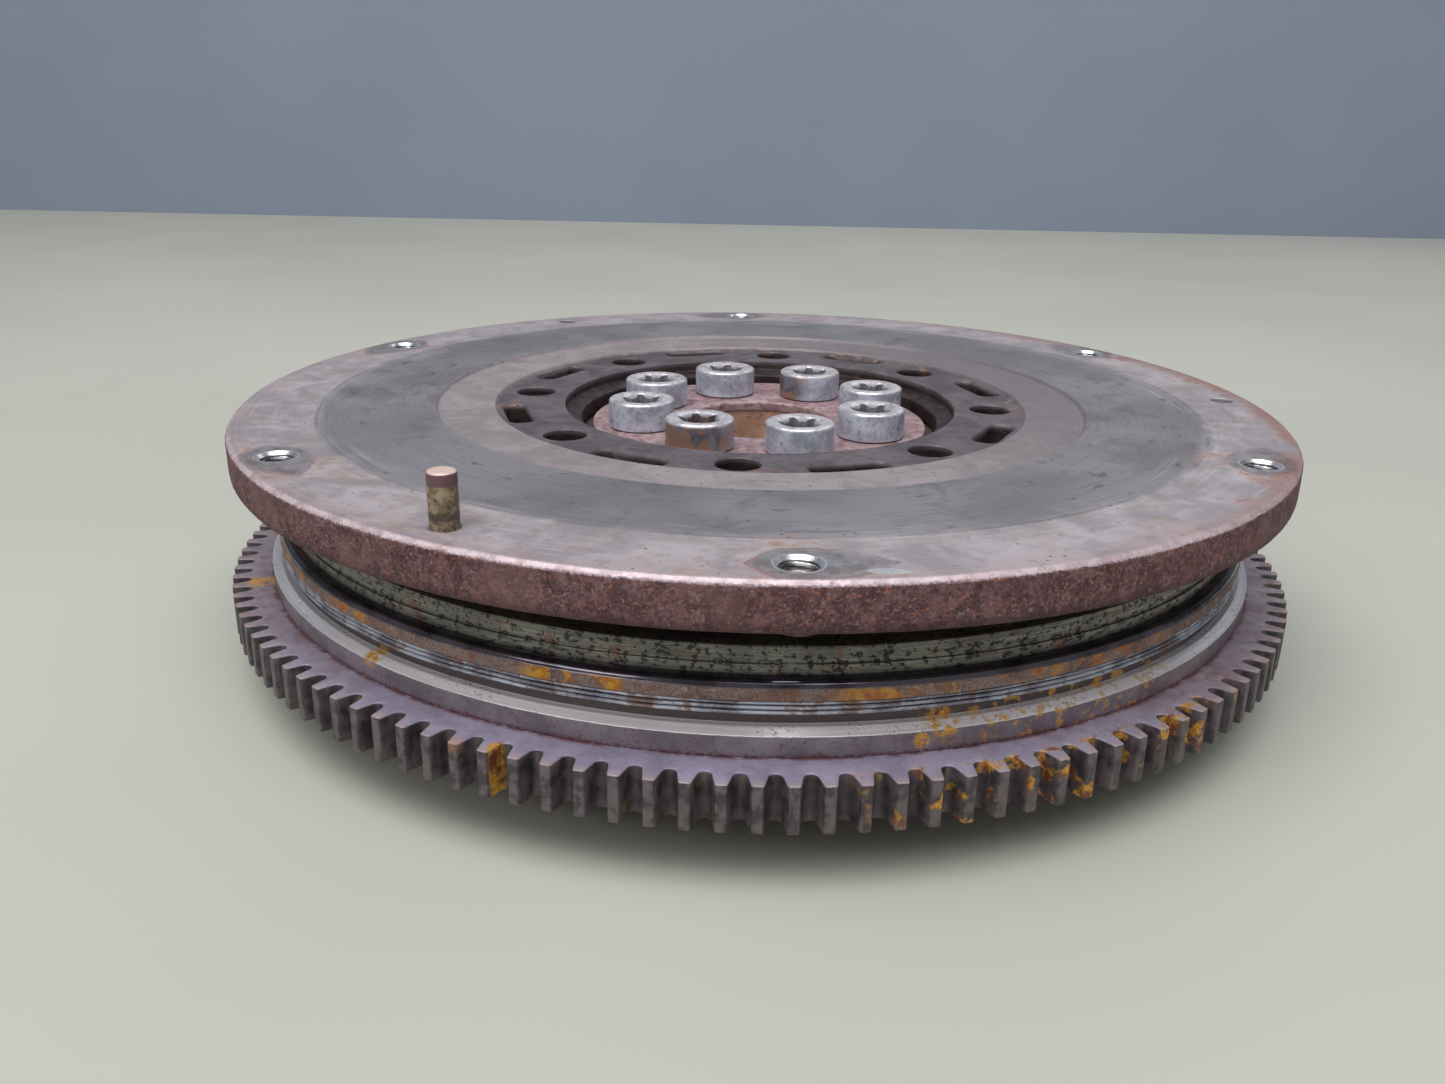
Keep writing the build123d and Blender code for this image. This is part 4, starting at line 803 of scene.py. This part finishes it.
def build_secondary():
    ledge = INNER_ZONE_Z - 2.6
    corners = [
        (54.5, INNER_ZONE_Z, 0.35), (54.5, ledge, 0.2), (52.0, ledge - 0.5, 0.3), (50.0, ledge - 1.25, 0.3),
        (50.0, BEARING_TOP, 0.2), (BEARING_R, BEARING_TOP, 0), (BEARING_R, BEARING_LOW, 0),
        (56.5, BEARING_LOW, 0), (56.5, 20.3, 0), (BEARING_R, 20.3, 0), (BEARING_R, HOUSING_LOW, 0.2),
        (60.0, HOUSING_LOW, 0.3), (60.0, RIM_LOW - 1.4, 0), (84.5, RIM_LOW - 1.4, 0.3), (85.9, RIM_LOW, 0.2),
        (100.0, RIM_LOW, 0), (115.0, RIM_LOW, 0), (130.0, RIM_LOW, 0), (RIM_R, RIM_LOW, 2.6),
        (RIM_R, RIM_LOW + 4.5, 0), (RIM_R, RIM_LOW + 7.0, 0), (RIM_R, TOP_Z - 1.2, 0.35),
        (RIM_R - 1.2, TOP_Z, 0.4), (130.0, TOP_Z, 0), (FRICTION_OUT + 0.5, TOP_Z, 0.3),
        (FRICTION_OUT - 0.2, FRICTION_Z, 0.4), (105.0, FRICTION_Z, 0), (FRICTION_IN, FRICTION_Z, 0.25),
        (FRICTION_IN - 0.6, TOP_Z - 0.7, 0.25), (82.0, TOP_Z - 0.7, 0),
        (INNER_ZONE_R + 0.6, TOP_Z - 0.7, 0.25), (INNER_ZONE_R, INNER_ZONE_Z, 0.25), (62.0, INNER_ZONE_Z, 0),
    ]
    disc = lathe("secondary_disc", corners[::-1], AROUND, 4, rough=0.22, rough_scale=0.35,
                 only=lambda r, z: r > RIM_R - 2.2 and z < TOP_Z - 1.0)
    bosses = [stub("boss", ((5.0, RIM_LOW - 1.5), (5.0, RIM_LOW + 1.0)), centre)
              for centre in spread(HOLE_CIRCLE, HOLE_START, HOLE_COUNT)]
    combine(disc, join(bosses, "bosses"), "UNION")
    cutters = [vent_cutter(VENT_START + 360 / VENT_COUNT * k) for k in range(VENT_COUNT)]
    floor = INNER_ZONE_Z - 5.0
    pocket = ((3.2, HOUSING_LOW - 1), (3.2, floor), (5.5, floor + 0.01), (5.5, INNER_ZONE_Z - 0.3),
              (5.75, INNER_ZONE_Z), (6.2, INNER_ZONE_Z + 0.5))
    cutters += [stub("pocket", pocket, centre)
                for centre in spread(RIVET_CIRCLE, RIVET_START, RIVET_COUNT)]
    cutters += [thread_cutter(centre) for centre in spread(HOLE_CIRCLE, HOLE_START, HOLE_COUNT)]
    dowel_hole = ((3.0, RIM_LOW - 1), (3.0, TOP_Z - 0.3), (3.3, TOP_Z), (3.6, TOP_Z + 0.3))
    cutters += [stub("dowel_hole", dowel_hole, centre) for centre in spread(HOLE_CIRCLE, DOWEL_START, 3)]
    combine(disc, join(cutters, "cutters"), "DIFFERENCE")
    dress(disc, rusty_disc())
    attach(disc, "secondary")
    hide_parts("secondary_flywheel")


# ------------------------------------------------------------------ starter ring gear
def gear_ring(z, inset, wear):
    """One outline of the toothed ring, moved inwards by inset, with a little wear on each tip."""
    root = GEAR_R - 2.25 * 25.4 / 12
    gap_half = (TAU * GEAR_R / TEETH - 2.15) / 2
    ring = []
    for k in range(TEETH):
        centre = math.radians(-127.19 + 180 / TEETH + 360 / TEETH * k)
        radius = 1.5 + inset
        local = []
        for j in range(9):
            a = math.radians(90 + 180 * j / 8)
            local.append((root + 1.5 + radius * math.cos(a), radius * math.sin(a)))
        tip = GEAR_R - inset - wear[k]
        half = gap_half - 0.12 + inset
        flank = [(root + 1.5 + (tip - 0.3 - root - 1.5) * t,
                  1.5 + inset + (half - 1.5 - inset) * t) for t in (0.33, 0.66, 1.0)]
        upper = flank + [(tip, half + 0.25)]
        outline = [(x, y) for x, y in reversed(upper)] + local + [(x, -y) for x, y in upper]
        pitch_half = TAU / TEETH / 2
        for x, y in outline:
            r, a = math.hypot(x, y), math.atan2(y, x)
            ring.append((r * math.cos(centre - a), r * math.sin(centre - a), z))
        a = centre + pitch_half
        ring.append((tip * math.cos(a), tip * math.sin(a), z))
    return np.array(ring)


def build_gear():
    wear = [0.02 + 0.10 * random.random() ** 2 for _ in range(TEETH)]
    zb, zt = GEAR_LOW, GEAR_TOP
    levels = [(zb, 0.2), (zb + 0.06, 0.08), (zb + 0.2, 0.0), (zb + 3, 0.0), (zt - 3, 0.0), (zt - 0.26, 0.0),
              (zt - 0.1, 0.06), (zt - 0.03, 0.14), (zt, 0.22)]
    outer = [gear_ring(z, inset, wear) for z, inset in levels]

    def shrunk(ring, radius, z):
        flat = ring.copy()
        scale = radius / np.hypot(flat[:, 0], flat[:, 1])
        flat[:, 0] *= scale
        flat[:, 1] *= scale
        flat[:, 2] = z
        return flat

    top = [shrunk(outer[-1], r, zt) for r in (137.0, 134.0, GEAR_BORE)]
    bottom = [shrunk(outer[0], r, zb) for r in (GEAR_BORE, 134.0, 137.0)]
    points, faces = skin(bottom + outer + top, True)
    gear = make_object("starter_gear", points, faces, 28)
    dress(gear, gear_finish())
    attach(gear, "primary")
    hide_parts("ring_gear")


# ------------------------------------------------------------------ primary flywheel, weld, cover, added mass
def build_primary():
    shoulder = WELD_LOW - 3.0
    corners = [
        (20.0, 0, 0), (54.0, 0, 0.4), (92.0, PRIMARY_LOW, 5.0), (104.0, PRIMARY_LOW, 0),
        (115.0, PRIMARY_LOW, 4.8), (GEAR_BORE, GEAR_LOW - 2.5, 0.3), (GEAR_BORE, GEAR_TOP, 0),
        (PRIMARY_R, GEAR_TOP, 0.25), (PRIMARY_R, shoulder, 0.12), (131.2, shoulder + 1.0, 0.15),
        (129.8, shoulder + 1.0, 0), (129.8, WELD_LOW, 0), (126.5, WELD_LOW, 0), (126.5, WELD_TOP, 0),
        (121.0, WELD_TOP, 0), (121.0, -7.3, 0), (115.0, -13.5, 0), (94.5, -13.5, 0), (59.0, 8.0, 0),
        (20.0, 8.0, 0),
    ]
    body = lathe("primary_body", corners[::-1], AROUND, 4)
    cutters = [stub("bolt_hole", ((BOLT_HOLE_R, -30), (BOLT_HOLE_R, 30)), centre)
               for centre in spread(BOLT_CIRCLE, BOLT_START, BOLT_COUNT)]
    cutters += [stub("pin_hole", ((2.5, -30), (2.5, 30)), centre)
                for centre in spread(BOLT_CIRCLE, BOLT_START + 22.5, 4)]
    cutters += [stub("plug_hole", ((5.0, -30), (5.0, -5)), centre) for centre in spread(SPRING_CIRCLE, 90, 2)]
    combine(body, join(cutters, "cutters"), "DIFFERENCE")
    dress(body, primary_finish())
    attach(body, "primary")
    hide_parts("primary_flywheel")


def build_weld():
    """A bead of three round ridges with uneven ripples, drawn finely round the wall."""
    around = 1800
    turn = np.arange(around) * TAU / around
    wander = np.array([noise.noise(Vector((math.cos(t) * 9, math.sin(t) * 9, 1.0))) for t in turn])
    ripple = np.array([noise.noise(Vector((math.cos(t) * 160, math.sin(t) * 160, 4.0))) for t in turn])
    height = WELD_TOP - WELD_LOW
    rings = [circle(126.5, WELD_LOW, around)]
    for k in range(22):
        t = k / 21
        lobe = abs(math.sin(1.5 * TAU * t)) ** 0.6
        swell = (WELD_R - 0.25 - 129.9) * lobe
        radius = 129.9 + swell * (0.85 + 0.3 * wander) + 0.2 * lobe * ripple
        rings.append(circle(np.minimum(radius, WELD_R), WELD_LOW + height * t, around))
    rings.append(circle(126.5, WELD_TOP, around))
    points, faces = skin(rings, True)
    bead = make_object("weld_bead", points, faces, 60)
    dress(bead, weld_finish())
    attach(bead, "primary")
    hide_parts("cover_weld")


def build_cover():
    corners = [(93.0, COVER_LOW, 0.2), (COVER_R, COVER_LOW, 0.2), (COVER_R, COVER_LOW + 1.3, 0),
               (COVER_R, COVER_TOP, 2.4), (93.0, COVER_TOP, 0.3)]
    cover = lathe("cover_plate", corners[::-1], AROUND, 7, rough=0.1, rough_scale=0.5,
                  only=lambda r, z: r > COVER_R - 0.05)
    dress(cover, cover_finish())
    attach(cover, "primary")
    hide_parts("primary_cover")


def build_mass():
    step = MASS_LOW + 2.2
    corners = [(104.0, MASS_LOW, 0), (MASS_R, MASS_LOW, 0), (MASS_R, step, 0.2), (MASS_R - 0.5, step, 0.1),
               (MASS_R - 0.75, step + 1.7, 0), (MASS_R - 1.0, MASS_TOP, 0.3), (104.0, MASS_TOP, 0)]
    ring = lathe("added_mass", corners[::-1], AROUND, 3, rough=0.08, rough_scale=0.8,
                 only=lambda r, z: r > MASS_R - 1.2)
    dress(ring, mass_finish())
    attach(ring, "primary")
    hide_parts("inertia_ring")


# ------------------------------------------------------------------ hub bolts, plate, dowel
def socket_radius(around):
    """The six-lobed driver outline as a radius for each of the ring's points."""
    radii = []
    for j in range(around):
        a = (j * 360 / around) % 60
        a = math.radians(min(a, 60 - a))
        reach_out = 5.67
        side = SOCKET_LOBE * math.sin(a)
        if side < 2.2:
            reach_out = min(reach_out, SOCKET_LOBE * math.cos(a) - math.sqrt(2.2 ** 2 - side ** 2))
        radii.append(reach_out)
    return np.array(radii)


def build_bolts():
    around = 96
    lobes = socket_radius(around)
    low, top = BOLT_LOW, BOLT_TOP
    head_low = top - BOLT_HEAD
    pieces = []
    for centre in spread(BOLT_CIRCLE, BOLT_START, BOLT_COUNT):
        spin = random.uniform(0, TAU / 6)
        rings = [circle(4.4, low, around), circle(4.8, low, around)]
        rings += thread_rings(low + 1.0, low + 24.0, 5.1, 6.0, 1.5, around, 0.25, ends=1.0)
        rings += [circle(5.95, low + 25, around), circle(5.95, head_low - 0.6, around),
                  circle(6.2, head_low, around)]
        rings += [circle(8.55, head_low, around), circle(9.0, head_low + 0.45, around),
                  circle(9.0, top - 1.0, around)]
        rings += [circle(8.95, top - 0.6, around), circle(8.75, top - 0.3, around),
                  circle(8.4, top - 0.08, around),
                  circle(8.1, top, around), circle(7.2, top, around), circle(6.35, top, around)]
        for t in np.linspace(0.0, 1.0, 7):
            rings.append(circle(np.maximum(lobes, SOCKET_LOBE - 2.2 * t), top - 0.05 - 1.1 * t, around))
        rings += [circle(lobes, top - 3.0, around), circle(lobes, top - 5.0, around),
                  circle(lobes * 0.93, top - 5.2, around),
                  circle(lobes * 0.4, top - 5.6, around)]
        rings = np.array(rings)
        x, y = rings[..., 0].copy(), rings[..., 1].copy()
        rings[..., 0] = centre[0] + x * math.cos(spin) - y * math.sin(spin)
        rings[..., 1] = centre[1] + x * math.sin(spin) + y * math.cos(spin)
        points, faces = skin(rings, False)
        pieces.append(make_object("bolt", points, faces))
    bolts = join(pieces, "hub_bolts")
    dress(bolts, zinc_finish())
    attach(bolts, "primary")
    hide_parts("crank_bolts")


def build_plate():
    corners = [(20.5, PLATE_LOW, 0.1), (PLATE_R, PLATE_LOW, 0.1), (PLATE_R, PLATE_TOP, 0.6),
               (34.0, PLATE_TOP, 0), (20.5, PLATE_TOP, 0.7)]
    plate = lathe("hub_plate", corners[::-1], 360, 4)
    cutters = [stub("bolt_hole", ((BOLT_HOLE_R, PLATE_LOW - 1), (BOLT_HOLE_R, PLATE_TOP + 1)), centre)
               for centre in spread(BOLT_CIRCLE, BOLT_START, BOLT_COUNT)]
    combine(plate, join(cutters, "cutters"), "DIFFERENCE")
    finish = plain_finish("hub_plate_steel", srgb(190, 164, 168), srgb(156, 128, 130), srgb(126, 84, 76),
                          0.45, 0.2, 0.16, 0.5)
    dress(plate, finish)
    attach(plate, "primary")
    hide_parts("washer_plate")


def dowel_finish():
    f = Finish("dowel_steel_worn")
    patch = f.noise(0.5, detail=4)
    blotch = f.noise(0.9, detail=4)
    top = PIN_HIGH.z / MM
    brass = f.shade(patch, 0.38, 0.62, (120, 104, 84), (166, 148, 122))
    brass = f.over(brass, (66, 54, 50), f.rise(blotch, 0.52, 0.64), 0.7)
    ring = f.rise(f.z, top - 2.9, top - 2.5)
    colour = f.mix(ring, brass, srgb(112, 84, 92))
    dark = f.band(f.plus(f.z, f.times(patch, 1.2)), TOP_Z + 2.6, TOP_Z + 4.2, 0.4)
    colour = f.over(colour, (58, 48, 48), dark, 0.75)
    colour = f.mix(f.rise(f.z, top - 0.45, top - 0.1), colour, srgb(232, 204, 192))
    return f.done(colour, 0.45, 0.3, f.plus(f.times(patch, 1.0), f.times(blotch, 0.6)), 0.06)


def build_dowel():
    centre = ((PIN_LOW.x + PIN_HIGH.x) / 2 / MM, (PIN_LOW.y + PIN_HIGH.y) / 2 / MM)
    low, top = PIN_LOW.z / MM, PIN_HIGH.z / MM
    levels = [(2.6, low), (2.95, low + 0.4), (2.98, TOP_Z - 0.1), (2.9, TOP_Z + 0.2), (2.98, TOP_Z + 0.6),
              (2.99, top - 3.0), (2.94, top - 2.7), (2.99, top - 2.4), (2.99, top - 0.6), (2.9, top - 0.3),
              (2.7, top - 0.1), (2.45, top), (1.2, top - 0.03)]
    pin = stub("locating_dowel", levels, centre, 72)
    dress(pin, dowel_finish())
    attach(pin, "secondary")
    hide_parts("dowel_pin")


# ------------------------------------------------------------------ arc springs, coiled
def coil(name, side, coil_radius, wire_radius, turns, material):
    """A coil bent round the axis, on the +Y or -Y side of the flywheel."""
    steps, sides = 22 * turns, 8
    margin = math.radians(7.5) + 0.5 / SPRING_CIRCLE + (wire_radius + 0.3) / SPRING_CIRCLE
    span = math.pi - 2 * margin
    rings = []
    for i in range(steps + 1):
        t = i / steps
        bend = margin + span * t + (0 if side > 0 else math.pi)
        turn = TAU * turns * t
        out = np.array((math.cos(bend), math.sin(bend), 0))
        radial = out * math.cos(turn) + np.array((0, 0, 1.0)) * math.sin(turn)
        centre = out * SPRING_CIRCLE + np.array((0, 0, 1.0)) + radial * (coil_radius - wire_radius)
        ahead = np.array((-math.sin(bend), math.cos(bend), 0))
        around = [TAU * s / sides for s in range(sides)]
        rings.append([centre + wire_radius * (radial * math.cos(a) + ahead * math.sin(a)) for a in around])
    points, faces = skin(rings, False)
    piece = make_object(name, points, [tuple(reversed(face)) for face in faces], 60)
    dress(piece, material)
    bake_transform(piece)
    return piece


def build_springs():
    steel = plain_finish("coil_steel", srgb(120, 118, 116), srgb(84, 80, 78), srgb(60, 50, 40), 0.35, 0.8,
                         0.4)
    for label, side in (("a", 1), ("b", -1)):
        outer = coil("outer_coil_" + label, side, 13.1, 2.3, 44, steel)
        inner = coil("inner_coil_" + label, side, 8.2, 1.6, 60, steel)
        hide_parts("outer_arc_springs")
        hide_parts("inner_arc_springs")


# ------------------------------------------------------------------ finishes of the CAD pieces that stay
def dress_cad():
    sheet = plain_finish("pressed_sheet", srgb(116, 100, 98), srgb(84, 70, 68), srgb(110, 70, 48), 0.5, 0.5)
    hub = plain_finish("hub_steel_brown", srgb(214, 172, 150), srgb(184, 144, 124), srgb(130, 92, 76), 0.5,
                       0.1, 0.15)
    spring = plain_finish("spring_steel_blue", srgb(110, 108, 112), srgb(76, 74, 78), srgb(84, 60, 46), 0.35,
                          0.8)
    bearing = plain_finish("bearing_steel_ground", srgb(150, 146, 146), srgb(110, 104, 104), srgb(90, 66, 54),
                           0.3, 0.85)
    brass = plain_finish("cage_brass_dull", srgb(176, 144, 84), srgb(140, 110, 62), srgb(96, 74, 46), 0.4,
                         0.8)
    plastic = plain_finish("friction_plastic_tan", srgb(120, 108, 84), srgb(96, 84, 64), srgb(70, 58, 44),
                           0.6, 0.0)
    rivet = plain_finish("rivet_steel", srgb(92, 76, 74), srgb(60, 48, 46), srgb(128, 84, 58), 0.5, 0.4, 0.35)
    wanted = {
        sheet: ("grease_plugs", "channel_stops", "cover_stops", "friction_retainer", "bearing_shields",
                "drive_flange"),
        rivet: ("flange_rivets",),
        hub: ("bearing_hub", "hub_pins", "friction_washer"),
        spring: ("spring_guides", "friction_spring", "bearing_circlip", "sealing_membrane"),
        bearing: ("bearing_inner_race", "bearing_outer_race", "bearing_balls"),
        brass: ("bearing_cage",),
        plastic: ("friction_disc",),
    }
    for material, names in wanted.items():
        for name in names:
            dress(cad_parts[name], material)


build_secondary()
build_gear()
build_primary()
build_weld()
build_cover()
build_mass()
build_bolts()
build_plate()
build_dowel()
build_springs()
dress_cad()


# ------------------------------------------------------------------ floor, light, camera
def stage_plane(name, corners, material):
    mesh = bpy.data.meshes.new(name)
    mesh.from_pydata(corners, [], [(0, 1, 2, 3)])
    plane = bpy.data.objects.new(name, mesh)
    bpy.context.scene.collection.objects.link(plane)
    mesh.materials.append(material)


def stage_material(name, colour, spread):
    f = Finish(name)
    tone = f.noise(0.004, detail=2)
    shade = f.mix(f.rise(tone, 0.3, 0.7), colour, tuple(c * spread for c in colour[:3]) + (1.0,))
    return f.done(shade, 0.75, 0.0, f.noise(0.3, detail=2), 0.02)


FLOOR_Z = cad_low.z
WALL_Y = 1.15
stage_plane("floor", [(-6, -4, FLOOR_Z), (6, -4, FLOOR_Z), (6, WALL_Y, FLOOR_Z), (-6, WALL_Y, FLOOR_Z)],
            stage_material("pale_floor", srgb(196, 197, 186), 0.93))
stage_plane("backdrop", [(-6, WALL_Y, FLOOR_Z), (6, WALL_Y, FLOOR_Z), (6, WALL_Y, 3.0), (-6, WALL_Y, 3.0)],
            stage_material("plain_backdrop", srgb(146, 156, 174), 0.94))


def area_light(name, place, target, width, depth, power, colour=(1, 1, 1)):
    data = bpy.data.lights.new(name, "AREA")
    data.shape = "RECTANGLE"
    data.size = width
    data.size_y = depth
    data.energy = power
    data.color = colour
    lamp = bpy.data.objects.new(name, data)
    lamp.location = place
    lamp.rotation_euler = (Vector(target) - Vector(place)).to_track_quat("-Z", "Y").to_euler()
    bpy.context.scene.collection.objects.link(lamp)


area_light("overhead", (-0.15, -0.5, 1.7), (0, -0.05, 0), 1.9, 1.3, 30, (1.0, 0.99, 0.98))
area_light("front_left", (-0.9, -1.1, 0.9), (0, 0, 0.02), 0.7, 0.4, 3.5, (1.0, 0.98, 0.97))
area_light("back_glow", (0.5, 1.0, 0.9), (0, 0, 0.02), 1.4, 0.4, 2, (0.93, 0.96, 1.0))

world = bpy.data.worlds.new("soft_room")
world.use_nodes = True
world.node_tree.nodes["Background"].inputs[0].default_value = (0.93, 0.95, 1.0, 1.0)
world.node_tree.nodes["Background"].inputs[1].default_value = 0.3
bpy.context.scene.world = world
bpy.context.scene.view_settings.view_transform = "Standard"

camera_data = bpy.data.cameras.new("camera")
camera_data.sensor_fit = "HORIZONTAL"
camera_data.sensor_width = 36.0
camera_data.lens = 30.127
camera = bpy.data.objects.new("camera", camera_data)
camera.location = (0.0, -0.33581, 0.12252)
camera.rotation_euler = [math.radians(a) for a in (69.8586, -0.9479, 1.9970)]
bpy.context.scene.collection.objects.link(camera)
bpy.context.scene.camera = camera
